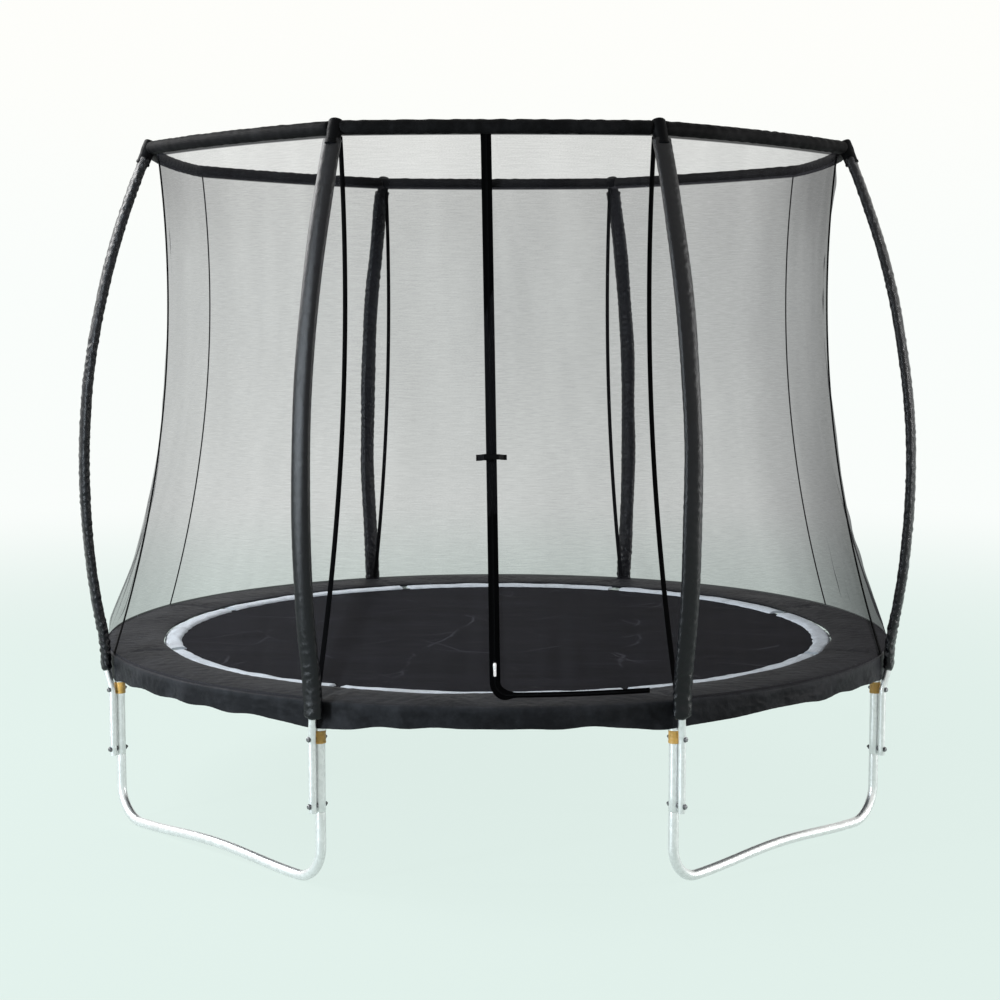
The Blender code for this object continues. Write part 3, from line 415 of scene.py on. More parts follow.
@dataclass(frozen=True)
class Webbing(Finish):
    """Woven strap: ribs across it, stitch lines along both edges and a little soiling."""

    rib: float = 0.0024
    width: float = 0.06

    def material(self) -> bpy.types.Material:
        """A sine along the strap makes the ribs, and a broken line near each edge the stitches."""
        recipe = Recipe(self.name)
        across, along, _ = recipe.parts(recipe.cloth())
        ribs = (along * (2 * math.pi / self.rib)).sin()
        soil = recipe.noise(recipe.place(), 14.0, 5.0, 0.65).ramp(0.45, 0.8)
        inset = abs(abs(across - self.width / 2) - self.width * 0.42)
        thread = (1 - inset.ramp(0.0006, 0.0014)) * ((along / 0.007).fraction() - 0.35).ramp(0, 0.1)
        return recipe.surface({
            "Base Color": recipe.blend(soil + thread * 0.25, self.shade(1.0), self.shade(0.72)),
            "Roughness": self.roughness + ribs * 0.04,
            "Specular IOR Level": self.gloss,
            "Normal": recipe.bump(ribs * 0.3 - thread * 1.5, 0.0005, 0.7),
        })


@dataclass(frozen=True)
class PadVinyl(Finish):
    """Charcoal vinyl over foam: pebbled grain, rubbed patches, stitches beside the corner seams."""

    span: float = math.pi / 4
    seam: float = 0.016
    # Heights over which painted shade darkens the skirt, and how much it darkens.
    skirt_shade_heights: tuple[float, float] = (0.600, 0.616)
    skirt_painted_shade: float = 0.25

    def material(self) -> bpy.types.Material:
        """Angle round the ring places the stitch rows; noise makes grain, creases and dust, and painted shade
        darkens the skirt.
        """
        recipe = Recipe(self.name)
        place = recipe.place()
        x, y, z = recipe.parts(place)
        radius = (x * x + y * y) ** 0.5
        corner = (y.math("ARCTAN2", y, x) / self.span).fraction() - 0.5
        off = abs(abs(corner) * self.span * radius - self.seam)
        broken = (((radius + z) / 0.009).fraction() - 0.3).ramp(0, 0.1)
        thread = (1 - off.ramp(0.0008, 0.0018)) * broken
        grain = recipe.noise(place, 620.0, 2.0)
        dust = recipe.noise(place, 5.5, 5.0, 0.65)
        crease = recipe.noise(place, 26.0, 5.0, 0.62)
        # Painted shade: the colour is darker on the skirt that hangs below the pad's top.
        skirt = (1 - z.ramp(*self.skirt_shade_heights)) * self.skirt_painted_shade
        tone = (dust * 0.65 + crease * 0.35).ramp(0.3, 0.75) - skirt
        return recipe.surface({
            "Base Color": recipe.blend(tone + thread * 0.5, self.shade(0.58), self.shade(1.65)),
            "Roughness": self.roughness + (crease - 0.5) * 0.25 + (grain - 0.5) * 0.1,
            "Specular IOR Level": self.gloss,
            "Normal": recipe.bump(crease * 6.0 + grain * 0.35 - thread * 2.0, 0.0009, 0.7),
        })


@dataclass(frozen=True)
class ZipCloth(Finish):
    """Herringbone zip tape with the moulded teeth along its inner edge."""

    teeth: float = 0.0032
    bead: float = 0.004

    def material(self) -> bpy.types.Material:
        """A saw along the tape makes the teeth where the bead is, and a fine twill elsewhere."""
        recipe = Recipe(self.name)
        across, along, _ = recipe.parts(recipe.cloth())
        on_bead = 1 - across.ramp(self.bead * 0.8, self.bead)
        tooth = (along * (2 * math.pi / self.teeth)).sin()
        twill = ((along + across) * (2 * math.pi / 0.0018)).sin()
        dust = recipe.noise(recipe.place(), 40.0, 4.0)
        return recipe.surface({
            "Base Color": recipe.blend(
                on_bead * (tooth * 0.5 + 0.5) + dust * 0.1, self.colour, self.shade(7.0)),
            "Roughness": self.roughness - on_bead * 0.25 + (dust - 0.5) * 0.1,
            "Specular IOR Level": self.gloss,
            "Normal": recipe.bump(on_bead * tooth * 2.0 + (1 - on_bead) * twill * 0.4, 0.0004, 0.8),
        })


STEEL = Steel("galvanised_steel", (0.78, 0.79, 0.79), 0.34, metal=0.80)
BOLT_STEEL = Steel("bolt_steel", (0.20, 0.20, 0.21), 0.38, flakes=600.0)
SPRING_STEEL = Steel("spring_steel", (0.66, 0.68, 0.68), 0.34, flakes=240.0)
ZIP_METAL = Steel("zip_metal", (0.80, 0.81, 0.83), 0.22, flakes=700.0)
AMBER = Plastic("amber_plastic", (0.80, 0.46, 0.11), 0.38, grain=500.0)
BLACK_PLASTIC = Plastic("black_plastic", (0.0030, 0.0030, 0.0034), 0.45, 0.04)
SMOOTH_SLEEVE = CoatedCloth("smooth_sleeve", (0.0026, 0.0030, 0.0046), 0.28, 0.24, threads=1100.0, rubbed=1.3,
                            creased=0.8)
CREASED_SLEEVE = CoatedCloth("creased_sleeve", (0.0030, 0.0034, 0.0052), 0.28, 0.24, threads=1100.0)
COVER_CLOTH = CoatedCloth("black_cover", (0.0085, 0.0082, 0.0085), 0.55, 0.02, threads=1300.0, rubbed=2.0)
TAPE_CLOTH = CoatedCloth("net_tape", (0.0020, 0.0020, 0.0022), 0.65, 0.01, threads=2100.0, rubbed=1.4)
NETTING = Netting("net_mesh", (0.027, 0.0262, 0.029), 0.85, 0.0)
MAT_CLOTH = MatWeave("mat_fabric", (0.0150, 0.0150, 0.0190), 0.62, 0.01)
WHITE_WEBBING = Webbing("white_webbing", (0.70, 0.75, 0.81), 0.70, 0.2)
PAD_COVER = PadVinyl("pad_vinyl", (0.0235, 0.0240, 0.0265), 0.46, 0.03)
ZIP_CLOTH = ZipCloth("zip_tape", (0.0010, 0.0010, 0.0011), 0.70, 0.01)


class Paints:
    """The materials of the finishes, each made once."""

    made: dict[str, bpy.types.Material] = {}

    @classmethod
    def of(cls, finish: Finish) -> bpy.types.Material:
        """The material of a finish."""
        if finish.name not in cls.made:
            cls.made[finish.name] = finish.material()
        return cls.made[finish.name]


# Arrays and meshes


def unit(vectors: Array) -> Array:
    """Vectors divided by their lengths."""
    return vectors / np.linalg.norm(vectors, axis=-1, keepdims=True)


def spin(points: Array, angle: float) -> Array:
    """Points turned about the upright axis by an angle in radians."""
    c, s = math.cos(angle), math.sin(angle)
    return points @ np.array([[c, s, 0], [-s, c, 0], [0, 0, 1.0]])


def polar(radius: Any, angle: Any, height: Any) -> Array:
    """Points (radius cos angle, radius sin angle, height) of arrays that broadcast together."""
    radius, angle, height = np.broadcast_arrays(radius, angle, height)
    return np.stack([radius * np.cos(angle), radius * np.sin(angle), height], axis=-1).astype(float)


def smooth_step(share: Array) -> Array:
    """The cubic 3 s^2 - 2 s^3 of a share held between 0 and 1."""
    share = np.clip(share, 0, 1)
    return share * share * (3 - 2 * share)


def run_length(path: Array) -> Array:
    """Distance along a run of points, from 0 at the first."""
    return np.concatenate([[0], np.cumsum(np.linalg.norm(np.diff(path, axis=0), axis=1))])


def respaced(path: Array, count: int) -> Array:
    """A run of points read again at even distances along it."""
    at = run_length(path)
    even = np.linspace(0, at[-1], count)
    return np.stack([np.interp(even, at, path[:, k]) for k in range(3)], axis=1)


def softened(path: Array, reach: float) -> Array:
    """An evenly spaced run with its corners rounded by a Gaussian average of some reach."""
    step = run_length(path)[-1] / (len(path) - 1)
    half = int(3 * reach / step) + 1
    weights = np.exp(-0.5 * (np.arange(-half, half + 1) * step / reach) ** 2)
    ahead = 2 * path[-1] - path[-2:-half - 2:-1]
    behind = 2 * path[0] - path[half:0:-1]
    longer = np.concatenate([behind, path, ahead])
    return np.stack([np.convolve(longer[:, k], weights / weights.sum(), "valid") for k in range(3)], axis=1)


def ring(radius: Any, sides: int) -> Array:
    """Points (radius cos a, radius sin a) of a circle, or of one circle for each radius."""
    angle = 2 * math.pi * np.arange(sides) / sides
    return np.asarray(radius, float)[..., None, None] * np.stack([np.cos(angle), np.sin(angle)], axis=-1)


def sweep(path: Array, section: Array, side: Array) -> Array:
    """A section carried along a path.

    Args:
        path: points, one a row.
        section: (first, second) offsets, for all rows alike or one set a row.
        side: direction that the first offset keeps to, squared up with the path.

    Returns:
        Grid where each row is path + first * side + second * (along x side).
    """
    along = unit(np.gradient(path, axis=0))
    side = np.broadcast_to(np.asarray(side, float), path.shape)
    first = unit(side - along * (side * along).sum(-1, keepdims=True))
    second = np.cross(along, first)
    section = np.broadcast_to(section, (len(path), *section.shape[-2:]))
    return path[:, None] + section[..., :1] * first[:, None] + section[..., 1:] * second[:, None]


def turned(profile: Array, base: Array, axis: Array, sides: int) -> Array:
    """A (radius, height) profile turned about an axis from a base: one row for each profile point."""
    axis = unit(np.asarray(axis, float))
    other = np.array([0, 0, 1.0]) if abs(axis[2]) < 0.9 else np.array([1.0, 0, 0])
    first = unit(np.cross(axis, other))
    second = np.cross(axis, first)
    circle = ring(profile[:, 0], sides)
    lift = np.asarray(base) + profile[:, 1:2] * axis
    return lift[:, None] + circle[..., :1] * first + circle[..., 1:] * second


def oblong(half_x: float, half_y: float, count: int, power: float) -> Array:
    """Points (x, y) of a superellipse, where |x / a|^p + |y / b|^p = 1."""
    angle = 2 * math.pi * (np.arange(count) + 0.5) / count
    way = np.stack([np.cos(angle), np.sin(angle)], axis=-1)
    return np.sign(way) * np.abs(way) ** (2 / power) * (half_x, half_y)


def slab(outline: Array, layers: Any) -> Array:
    """An outline stacked in layers of (inset, height): each row is the outline drawn in by its inset."""
    inset, height = np.asarray(layers, float).T
    flat = outline[None] - inset[:, None, None] * unit(outline)[None]
    return np.concatenate([flat, np.broadcast_to(height[:, None], flat.shape[:2])[..., None]], axis=-1)


def outward(grid: Array) -> Array:
    """Unit normals of a grid of points, turned away from the upright axis."""
    normal = unit(np.cross(np.gradient(grid, axis=1), np.gradient(grid, axis=0)))
    radial = grid * (1, 1, 0)
    return normal * np.sign((normal * radial).sum())


class Ripple:
    """Soft noise of two variables: a sum of cosines with seeded directions, lengths and phases."""

    def __init__(self, seed: int, across: tuple[float, float], along: tuple[float, float],
                 count: int = 18, whole: bool = False) -> None:
        """Draw the cosines.

        Args:
            seed: start of the random draws.
            across: least and most waves to one unit of the first variable.
            along: least and most waves to one unit of the second variable.
            count: number of cosines.
            whole: keep the first variable's waves to whole numbers, so that they close on a ring.
        """
        draw = np.random.default_rng(seed)
        first = draw.uniform(*across, count) * draw.choice((-1, 1), count)
        self.first = 2 * math.pi * (np.round(first) if whole else first)
        self.second = 2 * math.pi * draw.uniform(*along, count)
        self.phase = draw.uniform(0, 2 * math.pi, count)
        self.size = math.sqrt(2 / count)

    def __call__(self, across: Array, along: Array) -> Array:
        """Noise of about unit size at two variables that broadcast together."""
        across, along = np.broadcast_arrays(across, along)
        angle = across[..., None] * self.first + along[..., None] * self.second + self.phase
        return np.cos(angle).sum(-1) * self.size

    def ridges(self, across: Array, along: Array, sharp: float = 3.0) -> Array:
        """Noise drawn up into narrow ridges: (1 - |noise| / 2) to a power, from 0 to 1."""
        return np.clip(1 - np.abs(self(across, along)) / 2, 0, 1) ** sharp


class Shape:
    """Grids of points gathered into one mesh."""

    def __init__(self) -> None:
        """Start with no points."""
        self.points: list[Array] = []
        self.faces: list[list[int]] = []
        self.map: list[Array] = []
        self.count = 0

    def add(self, grid: Array, wrap: tuple[bool, bool] = (False, True), caps: bool = False,
            size: tuple[float, float] = (1.0, 1.0), facing: Facing = Facing.ROW,
            keep: Array | None = None) -> "Shape":
        """Add a grid of points as quads, with a UV map of its size in metres.

        Args:
            grid: rows x columns x 3 points.
            wrap: whether the rows, and the columns, close on themselves.
            caps: whether the first and the last row are filled.
            size: length over the columns and over the rows.
            facing: which way the faces point.
            keep: mask of the quads to keep.

        Returns:
            The shape itself.
        """
        rows, columns = grid.shape[:2]
        spans = rows - (not wrap[0]), columns - (not wrap[1])
        at = np.stack(np.meshgrid(*map(np.arange, spans), indexing="ij"), axis=-1)
        at = at[keep] if keep is not None else at.reshape(-1, 2)
        corner = at[:, None] + np.array([[0, 0], [0, 1], [1, 1], [1, 0]])
        quads = (corner[..., 0] % rows) * columns + corner[..., 1] % columns
        map_uv = corner[..., ::-1] * (size[0] / spans[1], size[1] / spans[0])
        points = grid.reshape(-1, 3)
        four = points[quads]
        normal = np.cross(four[:, 2] - four[:, 0], four[:, 3] - four[:, 1])
        middle = four.mean(1)
        if facing is Facing.ROW:
            away = middle - grid.mean(1)[at[:, 0]]
        elif facing is Facing.AXIS:
            away = middle * (1, 1, 0)
        else:
            away = np.array([[0, 0, 1.0]])
        ends = [list(range(columns))[::-1], list(range((rows - 1) * columns, rows * columns))] if caps else []
        if (normal * away).sum() < 0:
            quads, map_uv = quads[:, ::-1], map_uv[:, ::-1]
            ends = [end[::-1] for end in ends]
        used, packed = np.unique(quads, return_inverse=True)
        if caps:
            used, packed = np.arange(len(points)), quads
        quads = packed.reshape(-1, 4) + self.count
        self.faces += quads.tolist() + [[index + self.count for index in end] for end in ends]
        self.map += [map_uv.reshape(-1, 2), np.zeros((sum(map(len, ends)), 2))]
        self.points.append(points[used])
        self.count += len(used)
        return self

    def tube(self, path: Array, radius: Any, side: Any, sides: int = 24, caps: bool = True) -> "Shape":
        """Add a round tube along a path."""
        grid = sweep(path, ring(radius, sides), np.asarray(side, float))
        girth = 2 * math.pi * float(np.max(radius))
        return self.add(grid, caps=caps, size=(girth, float(run_length(path)[-1])))

    def lathe(self, profile: Any, base: Any, axis: Any, sides: int = 32, closed: bool = False) -> "Shape":
        """Add a turned profile: filled at both ends, or closed on itself as a ring."""
        profile = np.asarray(profile, float)
        grid = turned(profile, np.asarray(base, float), np.asarray(axis, float), sides)
        girth = 2 * math.pi * float(profile[:, 0].max())
        return self.add(grid, wrap=(closed, True), caps=not closed, size=(girth, np.ptp(profile[:, 1]) * 2))

    def piece(self, name: str, finish: Finish, body: Body | None, slot: Slot, nodes: Any = (),
              angle: float = 40.0) -> bpy.types.Object:
        """Make the object, attach it to the body it rides on, and hide the CAD nodes it stands for.

        Args:
            name: name of the piece.
            finish: its finish.
            body: body that it rides on, or None.
            slot: not used.
            nodes: CAD nodes that it stands for.
            angle: sharpest edge, in degrees, that is still shaded smooth.

        Returns:
            The new object.
        """
        mesh = bpy.data.meshes.new(name)
        mesh.from_pydata(np.concatenate(self.points).tolist(), [], self.faces)
        layer = mesh.uv_layers.new(name="UVMap")
        layer.data.foreach_set("uv", np.concatenate(self.map).ravel().astype(np.float32))
        mesh.materials.append(Paints.of(finish))
        mesh.shade_smooth()
        mesh.set_sharp_from_angle(angle=math.radians(angle))
        obj = bpy.data.objects.new(name, mesh)
        bpy.context.scene.collection.objects.link(obj)
        if body:
            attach(obj, body.value)
        if nodes:
            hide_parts(*([nodes] if isinstance(nodes, str) else nodes))
        LOG.info("%s: %d faces", name, len(self.faces))
        return obj


def area_of(grid: Array) -> float:
    """Area of a grid of quads, each taken as half the cross product of its diagonals."""
    across = grid[1:, 1:] - grid[:-1, :-1]
    other = grid[1:, :-1] - grid[:-1, 1:]
    return float(np.linalg.norm(np.cross(across, other), axis=-1).sum() / 2)


def cut_size(grid: Array) -> tuple[float, float]:
    """Greatest width along the rows and length along the columns of a grid."""
    width = np.linalg.norm(np.diff(grid, axis=1), axis=-1).sum(1).max()
    length = np.linalg.norm(np.diff(grid, axis=0), axis=-1).sum(0).max()
    return float(width), float(length)


# The frame's own sizes


@dataclass(frozen=True)
class Layout:
    """Sizes that the pieces share with the frame."""

    corner_angle: float = math.pi / 4
    frame_radius: float = 1.502
    rail_radius: float = 0.019
    rail_height: float = 0.590
    leg_radius: float = 0.017
    leg_joint: float = 0.252
    socket_mouth: float = 0.522
    upright_top: float = 0.5637
    pole_radius: float = 0.01275
    pole_ring: float = 1.552
    pole_bow: float = 0.064
    bow_height: float = 1.272
    kink_height: float = 0.6694
    bend_length: float = 0.070
    jog_height: float = 0.4798
    foot_offset: float = 0.03325
    top_radius: float = 1.358
    top_height: float = 2.461
    cap_skirt: float = 0.065
    mat_top: float = 0.611
    mat_radius: float = 1.25
    band_outer: float = 1.310
    pad_inner: float = 1.300
    pad_outer: float = 1.5265
    pad_under: float = 0.6128
    pad_edge: float = 0.007
    pad_crown: float = 0.024
    net_foot_radius: float = 1.5205
    net_top_radius: float = 1.328
    net_top: float = 2.437
    net_waist: float = 0.100
    net_top_bow: float = 0.041
    net_middle_bow: float = 0.020
    zip_top_x: float = -0.036
    zip_foot_x: float = -0.006
    zip_foot: float = 0.660
    zip_bend: float = 0.040
    door_reach: float = 0.480
    door_top_width: float = 0.030
    door_top: float = 2.402

    def direction(self, corner: float) -> float:
        """Angle in radians of a corner."""
        return (corner + 0.5) * self.corner_angle

    def pad_top(self, radius: Array) -> Array:
        """Height of the pad: its edge plus a crown that follows sin(pi share) to the power 0.6."""
        share = np.clip((radius - self.pad_inner) / (self.pad_outer - self.pad_inner), 0, 1)
        return self.pad_under + self.pad_edge + self.pad_crown * np.sin(np.pi * share) ** 0.6

    @property
    def net_foot(self) -> float:
        """Height of the net's lower edge."""
        return float(self.pad_top(np.array(self.net_foot_radius))) + 0.0015

    def bow(self, height: Array) -> Array:
        """Distance of a pole from the axis: a circular arc each way from where it bows most."""
        apex = self.pole_ring + self.pole_bow
        above = height > self.bow_height
        rise = np.where(above, self.top_height - self.bow_height, self.bow_height - self.kink_height)
        reach = np.where(above, apex - self.top_radius, self.pole_bow)
        radius = (rise**2 + reach**2) / (2 * reach)
        return apex - radius + np.sqrt(radius**2 - (height - self.bow_height) ** 2)

    def pole_run(self, side: int) -> Array:
        """Centre line of a pole at angle zero: foot, eased jog, parabolic bend, bow and cap."""
        foot = np.array([self.frame_radius + self.foot_offset * math.cos(self.corner_angle / 2),
                         side * self.foot_offset * math.sin(self.corner_angle / 2)])
        low = np.linspace(self.leg_joint, self.jog_height, 12)
        straight = np.c_[np.tile(foot, (12, 1)), low]
        enter = np.array([self.pole_ring, 0, self.kink_height - self.bend_length])
        kink = np.array([self.pole_ring, 0, self.kink_height])
        past = self.kink_height + self.bend_length
        leave = np.array([float(self.bow(np.array(past))), 0, past])
        share = np.linspace(0, 1, 24)[1:, None]
        jog = np.c_[foot + (enter[:2] - foot) * smooth_step(share),
                    self.jog_height + (enter[2] - self.jog_height) * share]
        bend = (1 - share) ** 2 * enter + 2 * share * (1 - share) * kink + share**2 * leave
        rise = np.linspace(past, self.top_height - self.cap_skirt / 2, 90)[1:]
        arc = np.c_[self.bow(rise), np.zeros(89), rise]
        return np.concatenate([straight, jog, bend, arc])

    def net(self, corner: Array, up: Array) -> Array:
        """Points of the enclosure net.

        At a corner the net follows a parabola drawn in by its waist; between corners it bows out
        from the chord by 4 t (1 - t), fully round at the pad and less towards the top ring.

        Args:
            corner: place round the ring in corners, such as 5.5 between the fifth and the sixth.
            up: share of the net's height.

        Returns:
            The points.
        """
        corner, up = np.broadcast_arrays(np.asarray(corner, float), np.asarray(up, float))
        span = np.floor(corner + 1e-9)
        t = corner - span
        first = (span + 0.5) * self.corner_angle
        half = self.corner_angle / 2
        radius = self.net_radius(up)
        bow = (self.net_foot_radius * (1 - math.cos(half)) * (1 - up) ** 2
               + 2 * self.net_middle_bow * up * (1 - up) + self.net_top_bow * up**2) * 4 * t * (1 - t)
        start, end = polar(radius, first, 0), polar(radius, first + 2 * half, 0)
        chord = (1 - t)[..., None] * start + t[..., None] * end
        return chord + polar(bow, first + half, self.net_foot + (self.net_top - self.net_foot) * up)

    def net_radius(self, up: Array) -> Array:
        """Distance of the net's corners from the axis, at a share of its height."""
        lean = self.net_foot_radius + (self.net_top_radius - self.net_foot_radius) * up
        return lean - 4 * self.net_waist * up * (1 - up)

    def sewn(self, points: Array, up: Array) -> Array:
        """Points of the net with its last rows drawn out and up to the underside of the top rail."""
        pulled = smooth_step((up - 0.988) / 0.012)[..., None]
        return points + pulled * (unit(points * (1, 1, 0)) * 0.0135 + (0, 0, 0.0075))

    def front_corner(self, x: Array, height: Array) -> Array:
        """Place round the ring, in corners, of a sideways place x on the front net."""
        up = (height - self.net_foot) / (self.net_top - self.net_foot)
        return 5.5 + x / (2 * self.net_radius(up) * math.sin(self.corner_angle / 2))

    def front(self, x: Array, height: Array) -> Array:
        """Points of the front net at a sideways place and a height."""
        up = (height - self.net_foot) / (self.net_top - self.net_foot)
        return self.sewn(self.net(self.front_corner(x, height), up), up)

    def zip_x(self, height: Array) -> Array:
        """Sideways place of the slanting zip."""
        share = (height - self.zip_foot) / (self.net_top - self.zip_foot)
        return self.zip_foot_x + (self.zip_top_x - self.zip_foot_x) * share

    def fold_x(self, height: Array) -> Array:
        """Sideways place of the straight fold on which the door flap turns."""
        share = (height - self.zip_foot) / (self.door_top - self.zip_foot)
        top = float(self.zip_x(np.array(self.door_top))) + self.door_top_width
        return self.door_reach + (top - self.door_reach) * share


SIZE = Layout()
POLES = {"left": 4, "front_left": 5, "front_right": 6, "right": 7, "rear_right": 9, "rear_left": 10}
LEGS = {"left": 4, "right": 6, "rear": 9}
SPANS = {"front_left": (4, 1), "front": (5, 1), "front_right": (6, 1), "right_rear": (7, 2), "rear": (9, 1),
         "left_rear": (10, 2)}


def leg_facing(corner: int) -> float:
    """Angle in radians at which the leg pair under a pole corner faces outwards."""
    return SIZE.direction(max(first for first in LEGS.values() if first <= corner) + 0.5)


def pole_side(corner: int) -> int:
    """1 for the first pole of its leg pair, going round, and -1 for the second."""
    return 1 if leg_facing(corner) > SIZE.direction(corner) else -1


# Sub-assemblies


@dataclass
class BaseFrame:
    """Round rail in six lengths, each with a welded socket for a leg."""

    gap: float = 0.0005
    socket_radius: float = 0.021
    socket_bore: float = 0.0176
    weld_radius: float = 0.0042

    def rail(self, where: str, index: int) -> None:
        """Build one length: a tube on an arc, its socket, and a beaded weld round the joint."""
        order = sorted(POLES.values())
        before = order[index - 1] - (8 if index == 0 else 0)
        after = order[(index + 1) % 6] + (8 if index == 5 else 0)
        corner = order[index]
        ends = [SIZE.direction((before + corner) / 2), SIZE.direction((corner + after) / 2)]
        slack = self.gap / SIZE.frame_radius
        angles = np.linspace(ends[0] + slack / 2, ends[1] - slack / 2, 24 * (after - before) + 1)
        path = polar(SIZE.frame_radius, angles, SIZE.rail_height)
        chamfer = np.minimum(np.minimum(angles - angles[0], angles[-1] - angles), 0.0012)
        radius = SIZE.rail_radius - 0.0012 + np.clip(chamfer, 0, 0.0012)
        foot = polar(SIZE.frame_radius, SIZE.direction(corner), 0.0)
        lip = 0.0008
        wall = [(self.socket_radius - lip, SIZE.socket_mouth), (self.socket_radius, SIZE.socket_mouth + lip),
                (self.socket_radius, 0.582), (self.socket_bore, 0.582), (self.socket_bore, SIZE.socket_mouth)]
        turn = np.linspace(0, 2 * math.pi, 97)[:-1]
        abeam = self.socket_radius * np.cos(turn)
        saddle = SIZE.rail_height - np.sqrt(SIZE.rail_radius**2 - abeam**2 * 0.75)
        bead = self.weld_radius * (0.8 + 0.2 * np.abs(np.sin(turn * 14)))
        seat = np.stack([abeam, self.socket_radius * np.sin(turn), saddle], 1)
        seat = spin(seat, SIZE.direction(corner)) + foot
        shape = Shape().tube(path, radius, (0, 0, 1), 28).lathe(wall, foot, (0, 0, 1), 32, closed=True)
        weld = sweep(seat, ring(bead, 8), np.array([0, 0, 1.0]))
        shape.add(weld, wrap=(True, True), size=(0.03, 0.13))
        shape.piece(f"base_rail_{where}", STEEL, Body.FRAME, Slot.STEEL, f"frame_rail_{where}")

    def build(self) -> None:
        """Build all six lengths."""
        for index, (where, _) in enumerate(sorted(POLES.items(), key=lambda item: item[1])):
            self.rail(where, index)


@dataclass
class Legs:
    """Three U-shaped legs in two parts, with plastic collars under the sockets and pole bolts."""

    bend: float = 0.120
    arch: float = 0.018
    sunk: float = 0.0012
    collar: tuple[float, float] = (0.0178, 0.0200)
    collar_heights: tuple[float, float] = (0.4795, 0.5215)
    bolt_heights: tuple[float, float] = (0.275, 0.497)
    shank: float = 0.004
    washer: float = 0.0095

    def base(self, where: str, corner: int) -> None:
        """Build a lower leg: straight risers, quarter-circle bends, and a bar on a raised cosine."""
        half = SIZE.frame_radius * math.sin(SIZE.corner_angle / 2)
        plane = SIZE.frame_radius * math.cos(SIZE.corner_angle / 2)
        low = SIZE.leg_radius - self.sunk
        turn = np.linspace(0, math.pi / 2, 22)
        centre = half - self.bend
        bend = np.c_[centre + self.bend * np.cos(turn), low + self.bend * (1 - np.sin(turn))]
        riser = np.c_[np.full(8, half), np.linspace(SIZE.leg_joint, low + self.bend, 9)[:-1]]
        share = np.linspace(0, 1, 60)[1:-1]
        bar = np.c_[centre * (1 - 2 * share), low + self.arch * (1 - np.cos(2 * np.pi * share)) / 2]
        side = np.concatenate([riser, bend])
        line = np.concatenate([side, bar, side[::-1] * (-1, 1)])
        path = np.c_[np.full(len(line), plane), line]
        edge = np.minimum(run_length(path), run_length(path)[::-1])
        radius = SIZE.leg_radius - 0.0012 * (1 - np.clip(edge / 0.004, 0, 1))
        grid = spin(sweep(path, ring(radius, 28), np.array([1.0, 0, 0])), SIZE.direction(corner + 0.5))
        grid[..., 2] = np.maximum(grid[..., 2], 0)
        shape = Shape().add(grid, caps=True, size=(0.107, float(run_length(path)[-1])))
        shape.piece(f"leg_u_{where}", STEEL, Body.FRAME, Slot.STEEL, f"leg_base_{where}")

    def upright(self, where: str, corner: int) -> None:
        """Build an upper leg, swaged in at its foot, and the two-part collar round it."""
        foot = polar(SIZE.frame_radius, SIZE.direction(corner), 0.0)
        r, joint = SIZE.leg_radius, SIZE.leg_joint
        profile = [(r - 0.004, joint - 0.02), (r - 0.004, joint), (r - 0.0012, joint + 0.0006),
                   (r, joint + 0.003), (r, joint + 0.05), (r, 0.40), (r, SIZE.upright_top),
                   (r - 0.003, SIZE.upright_top)]
        Shape().lathe(profile, foot, (0, 0, 1), 28).piece(
            f"leg_tube_{where}", STEEL, Body.FRAME, Slot.STEEL, f"leg_upright_{where}")
        inner, outer = self.collar
        low, high = self.collar_heights
        ribs = np.linspace(low + 0.004, high - 0.004, 15)
        wave = outer - 0.0007 * (1 - np.cos(np.linspace(0, 6 * math.pi, 15))) / 2
        wall = np.concatenate([[(inner, low), (outer - 0.001, low), (outer, low + 0.001)], np.c_[wave, ribs],
                               [(outer, high - 0.001), (outer - 0.001, high), (inner, high)]])
        Shape().lathe(wall, foot, (0, 0, 1), 40, closed=True).piece(
            f"collar_{where}", AMBER, Body.FRAME, Slot.AMBER, f"leg_collar_{where}")

    def bolts(self, where: str, corner: int) -> None:
        """Build the lower and upper pole bolts: hexagon heads, washers, a spacer and nuts."""
        facing = leg_facing(corner)
        out = polar(1.0, facing, 0.0)
        foot = polar(SIZE.frame_radius, SIZE.direction(corner), 0.0)
        far = SIZE.foot_offset + SIZE.pole_radius
        near, back = SIZE.foot_offset - SIZE.pole_radius, -SIZE.leg_radius
        for name, height, node in (("bolt_low", self.bolt_heights[0], (f"pole_bolt_{where}",)),
                                   ("bolt_high", self.bolt_heights[1], ())):
            base = foot + (0, 0, height)
            gap = near - SIZE.leg_radius
            shape = Shape()
            head = [(0.0045, far + 0.0076), (0.0065, far + 0.0072), (0.0080, far + 0.0060),
                    (0.0080, far + 0.0018)]
            shape.lathe(head, base, out, 6)
            shape.lathe([(self.washer, far + 0.0019), (self.washer, far + 0.0003)], base, out, 24)
            shape.lathe([(self.shank, far + 0.001), (self.shank, back - 0.0105)], base, out, 16)
            if node:
                spacer = [(0.0075, near - 0.0002), (0.009, near - gap * 0.3), (0.009, near - gap * 0.7),
                          (0.0075, near - gap + 0.0002)]
                shape.lathe(spacer, base, out, 24)
            shape.lathe([(self.washer, back - 0.0003), (self.washer, back - 0.0018)], base, out, 24)
            nut = [(0.0080, back - 0.0018), (0.0080, back - 0.0056), (0.0066, back - 0.0068),
                   (0.0045, back - 0.0070)]
            shape.lathe(nut, base, out, 6)
            shape.piece(f"{name}_{where}", BOLT_STEEL, Body.FRAME, Slot.STEEL, node, angle=25)

    def build(self) -> None:
        """Build every leg, collar and bolt."""
        for where, corner in LEGS.items():
            self.base(where, corner)
        for where, corner in POLES.items():
            self.upright(where, corner)
            self.bolts(where, corner)


